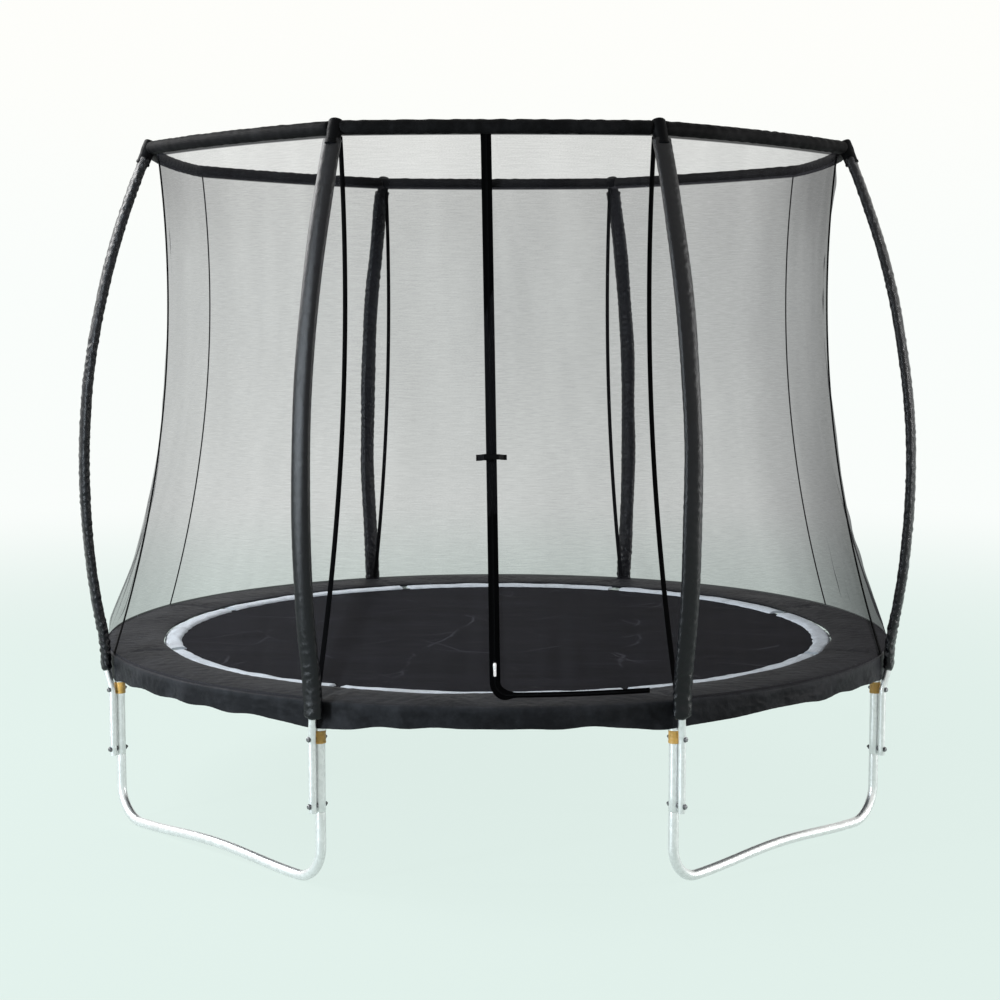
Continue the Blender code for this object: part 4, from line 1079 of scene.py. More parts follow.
@dataclass
class Poles:
    """Bowed steel poles in padded sleeves."""

    sleeve_foot: float = 0.569
    half_width: float = 0.033
    half_depth: float = 0.018
    sides: int = 56
    rows: int = 420
    smooth_limit: float = 0.2
    creased: dict[str, float] = field(default_factory=lambda: {
        "left": 0.55, "front_left": 0.0, "front_right": 0.15,
        "right": 0.4, "rear_right": 0.45, "rear_left": 0.45})

    def pole(self, where: str, corner: int) -> None:
        """Build a pole as a round tube along its centre line."""
        path = spin(SIZE.pole_run(pole_side(corner)), SIZE.direction(corner))
        edge = np.clip(run_length(path) / 0.003, 0, 1)
        facing = polar(1.0, SIZE.direction(corner), 0.0)
        Shape().tube(path, SIZE.pole_radius - 0.001 * (1 - edge), facing).piece(
            f"pole_tube_{where}", STEEL, Body.FRAME, Slot.STEEL, f"pole_{where}")

    def sleeve(self, where: str, corner: int) -> None:
        """Build a sleeve: a rounded oval carried up the pole, drawn in at both ends and rumpled.

        The rumples are ridged noise that lies across the sleeve, strongest where the pole bends,
        and a long wave; a sewn seam stands up along the inner side.
        """
        run = SIZE.pole_run(pole_side(corner))
        path = respaced(run[run[:, 2] >= self.sleeve_foot - 0.004], self.rows)
        at = run_length(path)
        around = 2 * math.pi * np.arange(self.sides) / self.sides
        seed = corner
        turn, length = around[None] / (2 * math.pi), at[:, None]
        across = Ripple(100 + seed, (1, 3.4), (3, 17), whole=True)
        fine = Ripple(200 + seed, (1, 5), (18, 48), whole=True)
        slow = Ripple(300 + seed, (0, 1.4), (0.6, 2.4), whole=True)
        worn = self.creased[where]
        bent = 0.4 * np.exp(-((at - 0.10) / 0.14) ** 2)[:, None] + 0.12 + worn
        rumple = (0.0026 * across.ridges(turn, length, 2.6) * bent + 0.0009 * fine(turn, length) * bent
                  + 0.0012 * slow(turn, length) - 0.0012)
        power = 2 / 2.25
        oval = np.stack([np.sign(np.cos(around)) * np.abs(np.cos(around)) ** power * self.half_depth,
                         np.sign(np.sin(around)) * np.abs(np.sin(around)) ** power * self.half_width], -1)
        girth = np.linalg.norm(oval, axis=-1)
        end = np.minimum(at, at[-1] - at)[:, None]
        hem = 0.0008 * np.exp(-((end - 0.012) / 0.003) ** 2)
        full = smooth_step(end / 0.010) ** 0.5
        seam = 0.0022 * np.exp(-(((around - 0.83 * math.pi) * self.half_width / 0.0028) ** 2))
        size = SIZE.pole_radius + 0.0004 + (girth + rumple + seam + hem - SIZE.pole_radius - 0.0004) * full
        section = oval / girth[:, None] * size[..., None]
        grid = spin(sweep(path, section, np.array([1.0, 0, 0])), SIZE.direction(corner))
        piece = Shape().add(grid, caps=True, size=(0.17, float(at[-1]))).piece(
            f"sleeve_{where}", CREASED_SLEEVE if worn > self.smooth_limit else SMOOTH_SLEEVE, Body.FRAME,
            Slot.SLEEVE, f"pole_sleeve_{where}", angle=70)

    def build(self) -> None:
        """Build every pole and sleeve."""
        for where, corner in POLES.items():
            self.pole(where, corner)
            self.sleeve(where, corner)


@dataclass
class TopRing:
    """Rails of the top ring in stitched covers, with moulded caps on the pole ends."""

    radius: float = 0.023
    bow: float = 0.041
    cap_radius: float = 0.026
    crown: float = 0.026

    def rail(self, where: str, corner: int, spans: int) -> None:
        """Build a covered rail: parabolic bows between corners, faintly rumpled, with an under-seam."""
        share = np.linspace(0, spans, 60 * spans + 1)
        step = np.minimum(np.floor(share), spans - 1)
        t = share - step
        first = (corner + step + 0.5) * SIZE.corner_angle
        chord = ((1 - t)[:, None] * polar(SIZE.top_radius, first, 0)
                 + t[:, None] * polar(SIZE.top_radius, first + SIZE.corner_angle, 0))
        path = chord + polar(self.bow * 4 * t * (1 - t), first + SIZE.corner_angle / 2, SIZE.top_height)
        path = softened(respaced(path, 150 * spans), 0.030)
        at = run_length(path)
        path = path[(at > 0.012) & (at < at[-1] - 0.020)]
        at = run_length(path)
        around = 2 * math.pi * np.arange(32) / 32
        rumple = Ripple(400 + corner, (0, 3), (4, 26), whole=True)(around[None] / (2 * math.pi), at[:, None])
        end = np.minimum(at, at[-1] - at)[:, None]
        seam = 0.0016 * np.exp(-(((around - math.pi) / 0.10) ** 2))
        size = self.radius - 0.0006 + 0.0005 * rumple + seam - 0.004 * (1 - smooth_step(end / 0.008))
        section = np.stack([np.cos(around), np.sin(around)], -1) * size[..., None]
        grid = sweep(path, section, np.array([0, 0, 1.0]))
        Shape().add(grid, caps=True, size=(0.145, float(at[-1]))).piece(
            f"top_cover_{where}", COVER_CLOTH, Body.FRAME, Slot.COVER, f"top_rail_{where}", angle=60)

    def cap(self, where: str, corner: int) -> None:
        """Build a cap: a lipped skirt round the pole's end under a rounded crown."""
        below = SIZE.top_height - SIZE.cap_skirt
        lean = np.array([SIZE.top_radius - float(SIZE.bow(np.array(below))), 0, SIZE.cap_skirt])
        axis = spin(unit(lean), SIZE.direction(corner))
        tip = polar(SIZE.top_radius, SIZE.direction(corner), SIZE.top_height)
        r, skirt = self.cap_radius, SIZE.cap_skirt
        dome = np.linspace(0, math.pi / 2, 10)
        crown = np.c_[r - 0.010 * (1 - np.cos(dome)), self.crown - 0.010 + 0.010 * np.sin(dome)]
        skirt_wall = [(0.0135, -skirt + 0.004), (r - 0.0032, -skirt), (r - 0.0012, -skirt + 0.0016),
                      (r - 0.0012, -skirt + 0.008), (r - 0.0030, -skirt + 0.010), (r - 0.0022, -0.030),
                      (r - 0.0010, -0.020), (r, -0.016)]
        profile = np.concatenate([skirt_wall, crown, [(0.004, self.crown + 0.0006)]])
        Shape().lathe(profile, tip, axis, 40).piece(
            f"pole_cap_{where}", BLACK_PLASTIC, Body.FRAME, Slot.COVER)

    def build(self) -> None:
        """Build the rails and caps."""
        for where, (corner, spans) in SPANS.items():
            self.rail(where, corner, spans)
        for where, corner in POLES.items():
            self.cap(where, corner)


@dataclass
class JumpingMat:
    """Woven mat, the webbing sewn round its edge, and the springs that hold it."""

    lengths: int = 8
    first_joint: float = math.radians(20)
    joint_gap: float = 0.046
    band_under: float = 0.013
    band_past: float = 0.001
    band_rise: float = 0.009
    hem: float = 0.004
    thickness: float = 0.0026
    sag: float = 0.003
    spring_count: int = 48
    spring_group: int = 3
    coil_radius: float = 0.0072
    wire: float = 0.0016
    hem_wire: float = 0.002
    turns: int = 15
    spring_drop: float = 0.012

    def mat(self) -> None:
        """Build the mat: a square grid pressed into a disc, x = u sqrt(1 - v^2 / 2) and alike in y."""
        u, v = np.meshgrid(*[np.linspace(-1, 1, 121)] * 2)
        x, y = u * np.sqrt(1 - v**2 / 2), v * np.sqrt(1 - u**2 / 2)
        edge = SIZE.mat_radius + self.hem
        rest = np.sqrt(x**2 + y**2)
        wave = Ripple(7, (0.4, 1.6), (0.4, 1.6))(x * edge, y * edge)
        z = SIZE.mat_top - self.sag * (1 - rest**2) + 0.0006 * wave * (1 - rest**4) - 0.0006
        grid = np.stack([x * edge, y * edge, z], -1)
        piece = Shape().add(grid, wrap=(False, False), facing=Facing.UP).piece(
            "mat_cloth", MAT_CLOTH, Body.MAT, Slot.MAT, "jumping_mat")
        thick = piece.modifiers.new("Thickness", "SOLIDIFY")
        thick.thickness, thick.offset = self.thickness, -1

    def band(self) -> None:
        """Build the webbing: lengths of flat strap round the edge, each pulled in by its stitching."""
        arc = 2 * math.pi / self.lengths
        inner, outer = SIZE.mat_radius - self.band_under, SIZE.pad_inner + self.band_past
        shape = Shape()
        for index in range(self.lengths):
            start = self.first_joint + index * arc
            slack = self.joint_gap * (1 + 0.35 * math.cos(index * 1.7)) / inner / 2
            angle = np.linspace(start + slack, start + arc - slack, 130)[:, None]
            pull = Ripple(40 + index, (0.02, 0.3), (3, 12))
            lift = Ripple(60 + index, (0.5, 2), (2, 9))
            flat = np.concatenate([np.linspace(0, 1, 9), np.linspace(1, 0, 9)])[None]
            share = (angle - start) / arc
            slant = 0.006 * math.cos(index * 2.4) * (2 * share - 1)
            low = inner - 0.0030 * np.abs(pull(0 * angle, angle)) + slant
            high = outer + 0.0015 * np.abs(pull(1 + 0 * angle, angle))
            radius = low + (high - low) * flat
            top = np.r_[np.ones(9), np.zeros(9)][None]
            roll = self.band_rise * (1 - (2 * flat - 1) ** 4) + 0.0008 * lift(flat, angle)
            z = SIZE.mat_top - 0.0012 + (0.0016 + roll) * top
            shape.add(polar(radius, angle, z), caps=True, size=(0.12, arc * SIZE.band_outer))
        shape.piece("edge_webbing", WHITE_WEBBING, Body.MAT, Slot.WEBBING, "mat_edge_band", angle=60)

    def spring_path(self) -> Array:
        """Wire of one spring along +X at angle zero: hook, tapered coil and hook."""
        start, end = SIZE.band_outer + 0.005, SIZE.frame_radius - SIZE.rail_radius + 0.004
        height = SIZE.mat_top - self.spring_drop
        share = np.linspace(0, 1, self.turns * 10 + 1)
        body = np.array([start + 0.022, end - 0.024])
        grow = self.coil_radius * np.clip(np.minimum(share, 1 - share) * self.turns, 0, 1)
        turn = 2 * math.pi * self.turns * share
        coil = np.stack(
            [body[0] + np.ptp(body) * share, grow * np.cos(turn), height + grow * np.sin(turn)], -1)
        hook = np.linspace(0, 1, 4)[:-1, None]
        lead = np.array([start, 0, height]) + hook * (coil[0] - (start, 0, height))
        tail = coil[-1] + (1 - hook[::-1]) * ((end, 0, height - 0.004) - coil[-1])
        return np.concatenate([lead, coil, tail])

    def springs(self) -> None:
        """Build the springs in groups, each stretching between mat and frame, and the mat's hem wire."""
        path = self.spring_path()
        height = SIZE.mat_top - self.spring_drop
        near, far = SIZE.band_outer + 0.008, SIZE.frame_radius - SIZE.rail_radius - 0.018
        one = sweep(path, ring(self.wire, 5), np.array([0.3, 0.2, 1.0]))
        step = 2 * math.pi / self.spring_count
        for group in range(self.spring_count // self.spring_group):
            shape = Shape()
            angles = [(group * self.spring_group + k + 0.5) * step for k in range(self.spring_group)]
            for angle in angles:
                shape.add(spin(one, angle), caps=True, size=(0.01, float(run_length(path)[-1])))
            piece = shape.piece(f"springs_{group:02d}", SPRING_STEEL, None, Slot.STEEL, "spring_set")
            middle = float(np.mean(angles))
            start, end = (tuple(polar(radius, middle, height)) for radius in (near, far))
            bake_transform(piece)
        angle = np.linspace(0, 2 * math.pi, 193)[:-1]
        hem = polar(SIZE.band_outer + 0.004, angle, height)
        wire = sweep(hem, ring(self.hem_wire, 8), np.array([0, 0, 1.0]))
        Shape().add(wire, wrap=(True, True), size=(0.0126, 8.25)).piece(
            "hem_wire", SPRING_STEEL, Body.MAT, Slot.STEEL)

    def build(self) -> None:
        """Build the mat, its webbing and the springs."""
        self.mat()
        self.band()
        self.springs()


@dataclass
class SpringPad:
    """Ring of foam in a vinyl cover, seamed at the corners, with a rumpled skirt over the rail."""

    steps: int = 960
    crown: float = 0.0125
    seam_dip: float = 0.0045
    seam_width: float = 0.012
    skirt_hem: float = 0.5548
    skirt_drop: float = 0.022
    skirt_wall: float = 0.0025
    skirt_wave: float = 0.005
    drawn_in: float = 0.0012

    def build(self) -> None:
        """Build the pad as a closed profile carried round the ring.

        The profile runs over the crowned top, down the outside of the skirt, up its inside and back
        underneath. The top dips at each corner seam and is rumpled by ridged noise; the skirt hangs
        lower at the poles, and its folds grow towards the hem.
        """
        angle = np.linspace(0, 2 * math.pi, self.steps + 1)[:-1, None]
        ring_share = angle / (2 * math.pi)
        off = (angle / SIZE.corner_angle - 0.5) - np.round(angle / SIZE.corner_angle - 0.5)
        off = off * SIZE.corner_angle * SIZE.pad_outer
        at_corner = np.exp(-((off / 0.192) ** 2))
        near_seam = np.exp(-((off / 0.10) ** 2))
        seam = self.seam_dip * np.exp(-((off / self.seam_width) ** 2)) + 0.003 * np.exp(-((off / 0.06) ** 2))
        inner = SIZE.pad_inner + 0.003 * Ripple(11, (6, 40), (0, 0.1), whole=True)(ring_share, 0 * ring_share)

        share = np.linspace(0.012, 0.988, 44)[None]
        flat = SIZE.pad_inner + share * (SIZE.pad_outer - SIZE.pad_inner)
        crown = np.sin(np.pi * share) ** 0.42
        slow = Ripple(12, (3, 26), (0.2, 1.2), whole=True)(ring_share, share)
        ridge = Ripple(13, (20, 90), (0.4, 2.6), whole=True).ridges(ring_share, share, 4.0)
        fine = Ripple(14, (60, 220), (0.5, 4.0), whole=True)(ring_share, share)
        rumple = (0.0016 * slow + 0.0024 * ridge * (0.3 + near_seam) + 0.0005 * fine) * crown
        top_z = SIZE.pad_under + SIZE.pad_edge + self.crown * crown - seam * crown + rumple
        top = flat + (inner - SIZE.pad_inner) * (1 - share) ** 3

        down = np.linspace(0, 1, 18)[None]
        hem_wave = Ripple(15, (8, 60), (0, 0.1), whole=True)(ring_share, 0 * ring_share)
        hem = self.skirt_hem - self.skirt_drop * at_corner + 0.0026 * hem_wave
        start = SIZE.pad_under + SIZE.pad_edge
        fold = Ripple(16, (16, 70), (0.1, 0.5), whole=True)(ring_share, down)
        pucker = Ripple(17, (70, 190), (0.3, 1.5), whole=True).ridges(ring_share, down, 3.0)
        wave = self.skirt_wave * (1 - at_corner) * (0.6 + 0.4 * np.cos(16 * angle))
        crumple = 0.0020 * fold + 0.0034 * pucker - self.drawn_in
        swell = wave * down + crumple * np.sin(np.pi * np.clip(down * 0.8, 0, 1))
        swell = np.maximum(swell, -self.drawn_in)
        skirt_r = SIZE.pad_outer + swell
        skirt_z = start + (hem - start) * down
        back_r, back_z = skirt_r[:, ::-3] - self.skirt_wall, skirt_z[:, ::-3]
        back_z = np.minimum(back_z, SIZE.pad_under)
        under = np.linspace(0.97, 0.03, 14)[None]
        under_r = inner + under * (SIZE.pad_outer - self.skirt_wall - inner)
        under_z = np.full((self.steps, 14), SIZE.pad_under)
        radius = np.concatenate([top, skirt_r, back_r, under_r], axis=1)
        height = np.concatenate([top_z, skirt_z, back_z, under_z], axis=1)
        grid = polar(radius, angle, height)
        piece = Shape().add(grid, wrap=(True, True), size=(0.65, 2 * math.pi * SIZE.pad_outer)).piece(
            "pad_ring", PAD_COVER, Body.FRAME, Slot.PAD, "spring_pad", angle=70)


@dataclass
class Enclosure:
    """Net panels with taped corners, and the door flap in the front one."""

    columns: int = 96
    rows: int = 150
    door_rows: int = 140
    cloth_height: float = 1.9
    tape: float = 0.017
    seam: float = 0.006
    proud: float = 0.0015
    blend_reach: float = 0.10
    tapes: dict[int, bpy.types.Object] = field(default_factory=dict)

    def folds(self, corner: Array, up: Array, grid: Array) -> Array:
        """Points moved along their normals by the net's folds.

        Slack makes broad soft waves; near the pad and the tapes finer folds fan upwards, and all of
        them die out at the top ring, the pad and the tapes. The hems reach the rail and the pad.
        """
        t = corner - np.floor(corner + 1e-9)
        edge = np.minimum(t, 1 - t)
        held = smooth_step(edge / 0.10) * smooth_step(up / 0.05) * smooth_step((1 - up) / 0.06)
        slow = Ripple(21, (0.6, 3.0), (0.3, 1.6))(corner, up * 1.8)
        fan = Ripple(22, (6, 16), (0.2, 1.4))(corner, up * 1.8) * np.exp(-((up / 0.28) ** 2))
        side = Ripple(23, (2, 7), (3, 9))(corner, up * 1.8) * np.exp(-((edge / 0.16) ** 2))
        move = (0.0060 * slow + 0.0028 * fan + 0.0016 * side) * held
        laid = smooth_step((0.012 - up) / 0.012)[..., None]
        return SIZE.sewn(grid, up) + outward(grid) * move[..., None] - laid * (0, 0, 0.007)

    def strip(self, name: str, corner: int, width: float) -> bpy.types.Object:
        """Build a tape down a corner of the net: a thin strap bent over the corner's two sides."""
        up = np.linspace(0.001, 0.999, 120)[:, None]
        offset = np.array([-0.5, -0.47, -0.2, 0.0, 0.2, 0.47, 0.5])[None] * width
        chord = 2 * SIZE.net_radius(up) * math.sin(SIZE.corner_angle / 2)
        grid = SIZE.net(corner + offset / chord, up)
        radial = polar(1.0, np.full(grid.shape[:2], SIZE.direction(corner)), 0.0)
        proud = self.proud * np.array([0.2, 1, 1, 1, 1, 1, 0.2])[None, :, None]
        outer, inner = grid + radial * proud, (grid - radial * proud)[:, ::-1]
        shape = Shape().add(np.concatenate([outer, inner], 1), caps=True, size=(2 * width, 1.85))
        return shape.piece(name, TAPE_CLOTH, Body.FRAME, Slot.NET, angle=60)

    def panel(self, where: str, corner: int, spans: int) -> None:
        """Build a net panel over one or two corner spans."""
        share = np.linspace(0.001, spans - 0.001, self.columns * spans + 1)[None]
        up = np.linspace(0, 1, self.rows + 1)[:, None]
        corner_at, up_at = np.broadcast_arrays(corner + share, up)
        flat = SIZE.net(corner_at, up_at)
        width, length = cut_size(flat)
        grid = self.folds(corner_at, up_at, flat)
        piece = Shape().add(
            grid, wrap=(False, False), size=(width, self.cloth_height), facing=Facing.AXIS).piece(
            f"net_{where}", NETTING, Body.FRAME, Slot.NET, f"net_panel_{where}", angle=80)
        held = [self.tapes[corner], self.tapes[corner + 1]] if spans == 2 else [self.tapes[corner]]
        area_of(flat)

    def front_grid(self) -> tuple[Array, Array, int, int, int]:
        """Grid of the front net with its columns drawn to the zip and to the flap's fold.

        Returns:
            The corner places, the height shares, the zip's and the fold's column, and the foot's row.
        """
        low = np.linspace(SIZE.net_foot, SIZE.zip_foot, 7)[:-1]
        high = np.linspace(SIZE.zip_foot, SIZE.door_top, self.door_rows)
        top = np.linspace(SIZE.door_top, SIZE.net_top, 5)[1:]
        height = np.concatenate([low, high, top])[:, None]
        held = np.clip(height, SIZE.zip_foot, SIZE.door_top)
        zip_at = SIZE.front_corner(SIZE.zip_x(held), held)
        fold_at = SIZE.front_corner(SIZE.fold_x(held), held)
        share = np.linspace(0, 1, 49)[None]
        left = 5.001 + (zip_at - 5.001) * share
        middle = zip_at + (fold_at - zip_at) * share[:, 1:]
        right = fold_at + (5.999 - fold_at) * share[:, 1:]
        corner = np.concatenate([left, middle, right], axis=1)
        up = np.broadcast_to((height - SIZE.net_foot) / (SIZE.net_top - SIZE.net_foot), corner.shape)
        return corner, up, 48, 96, len(low)

    def crease(self) -> tuple[Array, Array]:
        """Two points across the fold: where the flap leaves the fixed net, and where it swings freely."""
        low = SIZE.front(np.array(SIZE.door_reach), np.array(SIZE.zip_foot)) - (0, 0.004, 0)
        top_x = float(SIZE.fold_x(np.array(SIZE.door_top)))
        high = SIZE.front(np.array(top_x), np.array(SIZE.door_top)) - (0, 0.004, 0)
        along = unit(high - low)
        into = np.array([-1.0, 0, 0])
        into = unit(into - along * (into @ along))
        return low, low + into * self.blend_reach

    def front(self) -> None:
        """Build the front net around the doorway, and the flap that closes it."""
        corner, up, zip_column, fold_column, foot = self.front_grid()
        flat = SIZE.net(corner, up)
        grid = self.folds(corner, up, flat)
        rows, columns = np.arange(len(grid) - 1)[:, None], np.arange(grid.shape[1] - 1)[None]
        tall = (rows >= foot) & (rows < foot + self.door_rows - 1)
        door = tall & (columns >= zip_column) & (columns < fold_column)
        rising, falling = flat[1:, 1:] - flat[:-1, :-1], flat[1:, :-1] - flat[:-1, 1:]
        cells = np.linalg.norm(np.cross(rising, falling), axis=-1) / 2
        width, length = cut_size(flat)
        cloth = {"wrap": (False, False), "size": (width, self.cloth_height), "facing": Facing.AXIS}
        fixed = Shape().add(grid, keep=~door, **cloth).piece(
            "net_front", NETTING, Body.FRAME, Slot.NET, "net_panel_front", angle=80)
        float(cells[~door].sum())
        flap = Shape().add(grid, keep=door, **cloth).piece(
            "door_net", NETTING, None, Slot.NET, "net_door_flap", angle=80)
        start, end = self.crease()
        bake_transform(flap)

    def build(self) -> None:
        """Build the tapes, the panels and the door."""
        for corner in range(4, 12):
            width = self.tape if corner in POLES.values() else self.seam
            self.tapes[corner] = self.strip(f"net_tape_{corner - 3}", corner, width)
        for where, (corner, spans) in SPANS.items():
            if where != "front":
                self.panel(where, corner, spans)
        self.front()


@dataclass
class ZipFastening:
    """Long zip down the doorway and along its foot."""

    half_width: float = 0.0172
    proud: float = 0.0022
    bead: float = 0.004
    foot_share: float = 0.30
    reach: float = 0.010

    def line(self) -> tuple[Array, Array]:
        """Run of the zip on the front net, and its inward normal, both as (x, height).

        It goes straight down the slant, round a quarter circle, and level to the flap's far corner.
        """
        top = SIZE.net_top
        foot = np.array([SIZE.zip_foot_x, SIZE.zip_foot])
        head = np.array([float(SIZE.zip_x(np.array(top))), top])
        down = unit(foot - head)
        level = np.array([1.0, 0.0])
        r = SIZE.zip_bend
        centre = foot + r * (level - down)
        turn = np.linspace(0, math.pi / 2, 16)[:, None]
        bend = centre - r * (level * np.cos(turn) - down * np.sin(turn))
        share = np.linspace(0, 1, 170)[:-1, None]
        fall = head + (bend[0] - head) * share
        far = np.array([SIZE.door_reach + self.reach, SIZE.zip_foot])
        across = bend[-1] + (far - bend[-1]) * np.linspace(0, 1, 60)[1:, None]
        line = np.concatenate([fall, bend, across])
        along = unit(np.gradient(line, axis=0))
        return line, np.stack([-along[:, 1], along[:, 0]], -1)

    def half(self, name: str, sign: int) -> bpy.types.Object:
        """Build one tape: a flat strap with a rounded bead of teeth along its inner edge."""
        line, normal = self.line()
        w, b = self.half_width, self.bead
        edge = 0.0001 if sign > 0 else -0.0012
        offset = np.array([edge, 0.0002, 0.3 * b, 0.7 * b, b, b + 0.001, 0.5 * w, w - 0.0006, w, w,
                           w - 0.0006, 0.5 * w, edge])
        lift = np.array([0.0, 0.0012, 0.0017, 0.0017, 0.0010, 0.0006, 0.0006, 0.0006, 0.0002, -0.0002,
                         -0.0004, -0.0004, -0.0004])
        level = smooth_step((line[:, 0] - SIZE.zip_foot_x - 0.02) / 0.05)[:, None]
        narrow = b + (offset - b) * (1 - (1 - self.foot_share) * level)
        width = np.where(offset > b, narrow, offset + 0 * level)
        flat = line[:, None] + normal[:, None] * (sign * width)[..., None]
        grid = SIZE.front(flat[..., 0], np.minimum(flat[..., 1], SIZE.net_top))
        near = np.array([-0.02, 0, 0.02])
        across, up = (SIZE.front(line[:, :1] + near * dx, line[:, 1:] + near * dz)
                      for dx, dz in ((1, 0), (0, 1)))
        out = unit(np.cross(across[:, 2] - across[:, 0], up[:, 2] - up[:, 0]))
        out = out * np.sign(-out[:, 1:2])
        grid = grid + out[:, None] * (self.proud + lift)[None, :, None]
        size = (float(offset.max()), float(np.linalg.norm(np.diff(line, axis=0), axis=1).sum()))
        shape = Shape().add(grid, caps=True, size=size)
        return shape.piece(name, ZIP_CLOTH, Body.FRAME if sign < 0 else None, Slot.NET, angle=50)

    def build(self, start: Array, end: Array) -> None:
        """Build both tapes."""
        self.half("zip_tape_fixed", -1)
        moving = self.half("zip_tape_flap", 1)
        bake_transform(moving)


@dataclass
class Hardware:
    """Zip slider with its pull, and the buckle that bridges the zip, each laid out on the zip.

    In a local frame x goes across the zip, y up along it and z out of the net.
    """

    slider_height: float = 0.745
    buckle_height: float = 1.400
    slider_face: float = 0.0095
    shelf: float = 0.018
    half_length: float = 0.050

    def placed(self, points: Array, height: float) -> Array:
        """Local points carried to the zip at a height."""
        here, above = (SIZE.front(SIZE.zip_x(np.array(z)), np.array(z)) for z in (height, height + 0.012))
        along = unit(above - here)
        across = unit(np.array([1.0, 0, 0]) - along * along[0])
        return here + points @ np.stack([across, along, np.cross(across, along)])

    def slider(self) -> None:
        """Build the slider: a waisted body of two plates with a groove between, under a bent bridge."""
        outline = oblong(0.0058, 0.0118, 56, 3.2)
        outline[:, 0] *= 0.90 + 0.10 * np.sin(np.clip(outline[:, 1] / 0.0118, -1, 1) * math.pi / 2)
        low, face = 0.0045, self.slider_face
        plate = [(0.0009, 0.0), (0.0002, 0.0004), (0.0, 0.0012), (0.0003, 0.0017), (0.0016, 0.0019)]
        layers = [(inset, low + rise) for inset, rise in plate]
        layers += [(inset, face - rise) for inset, rise in plate[::-1]]
        turn = np.linspace(math.pi, 0, 17)[:, None]
        arch = np.c_[0 * turn, 0.007 * np.sign(np.cos(turn)) * np.abs(np.cos(turn)) ** 0.5,
                     face + 0.0040 * np.sin(turn) ** 0.5]
        arch = np.concatenate([arch[:1] - (0, 0, 0.001), arch, arch[-1:] - (0, 0, 0.001)])
        bridge = sweep(arch, oblong(0.00165, 0.0009, 16, 3.0), np.array([1.0, 0, 0]))
        shape = Shape().add(self.placed(slab(outline, layers), self.slider_height), caps=True)
        shape.add(self.placed(bridge, self.slider_height), caps=True)
        shape.piece("slider_body", ZIP_METAL, Body.SLIDER, Slot.METAL, "zip_slider", angle=35)

    def pull(self) -> None:
        """Build the pull: a plate round a window, rimmed on both faces and tapered to its middle."""
        middle, half = self.slider_face + 0.0015, 0.0008
        outer = oblong(0.0055, 0.0169, 72, 3.6) + (0, -0.0159)
        outer[:, 0] *= 0.80 + 0.20 * np.abs((outer[:, 1] + 0.0159) / 0.0169) ** 1.5
        inner = oblong(0.0029, 0.0044, 72, 3.6) + (0, -0.0056)
        across = np.array([0, 0.0, 0.06, 0.16, 0.24, 0.80, 0.90, 1.0, 1.0, 0.90, 0.80, 0.24, 0.16, 0.06])
        lift = np.array([-0.5, 0.5, 1, 1, 0.55, 0.55, 1, 0.6, -0.6, -1, -0.55, -0.55, -1, -1]) * half
        flat = outer[:, None] + (inner - outer)[:, None] * across[None, :, None]
        grid = np.concatenate([flat, np.broadcast_to(middle + lift, flat.shape[:2])[..., None]], -1)
        Shape().add(self.placed(grid, self.slider_height), wrap=(True, True)).piece(
            "pull_tab", ZIP_METAL, Body.PULL, Slot.METAL, "zip_pull", angle=35)

    def lead(self, sign: int, width: float, low: float, high: float, end: float) -> Array:
        """A flat strap that leaves the net, rises on a smooth step to a shelf and runs to an end."""
        x = np.linspace(self.half_length, sign * end, 48)
        foot = 0.0018
        rise = smooth_step((self.half_length - 0.006 - x) / 0.024)
        middle = (low + high) / 2
        path = np.stack([sign * x, 0 * x, foot + (middle - foot) * rise], -1)
        section = oblong(1.0, 1.0, 20, 5.0)[None] * np.stack(
            [np.full(48, width / 2), (0.0010 + ((high - low) / 2 - 0.0010) * rise) * 0.98], -1)[:, None]
        return sweep(path, section, np.array([0, 1.0, 0]))

    def socket(self) -> None:
        """Build the buckle's open socket: a strap, a tray, and a rounded wall round three sides."""
        floor, top = self.shelf + 0.002, self.shelf + 0.0055
        strap = self.lead(-1, 0.0205, self.shelf, floor, -0.002)
        shape = Shape().add(self.placed(strap, self.buckle_height), caps=True)
        turn = np.linspace(-math.pi / 2, math.pi / 2, 15)[:, None]
        bend = np.c_[-0.0205 - 0.0030 * np.cos(turn), 0.0062 * np.sign(np.sin(turn)) + 0.0028 * np.sin(turn)]
        line = np.concatenate([[(0.0008, -0.0090)], bend, [(0.0008, 0.0090)]])
        middle = (self.shelf + 0.001 + top) / 2
        path = np.c_[line, np.full(len(line), middle)]
        wall = sweep(path, oblong((top - self.shelf - 0.001) / 2, 0.0015, 16, 4.0), np.array([0, 0, 1.0]))
        shape.add(self.placed(wall, self.buckle_height), caps=True)
        plate = slab(oblong(0.0125, 0.0108, 48, 6.0), [(0.0006, self.shelf), (0, self.shelf + 0.0005),
                                                       (0, floor - 0.0005), (0.0006, floor)]) - (0.0112, 0, 0)
        shape.add(self.placed(plate, self.buckle_height), caps=True)
        shape.piece("buckle_shell", BLACK_PLASTIC, Body.FRAME, Slot.PLASTIC, "buckle_socket", angle=35)

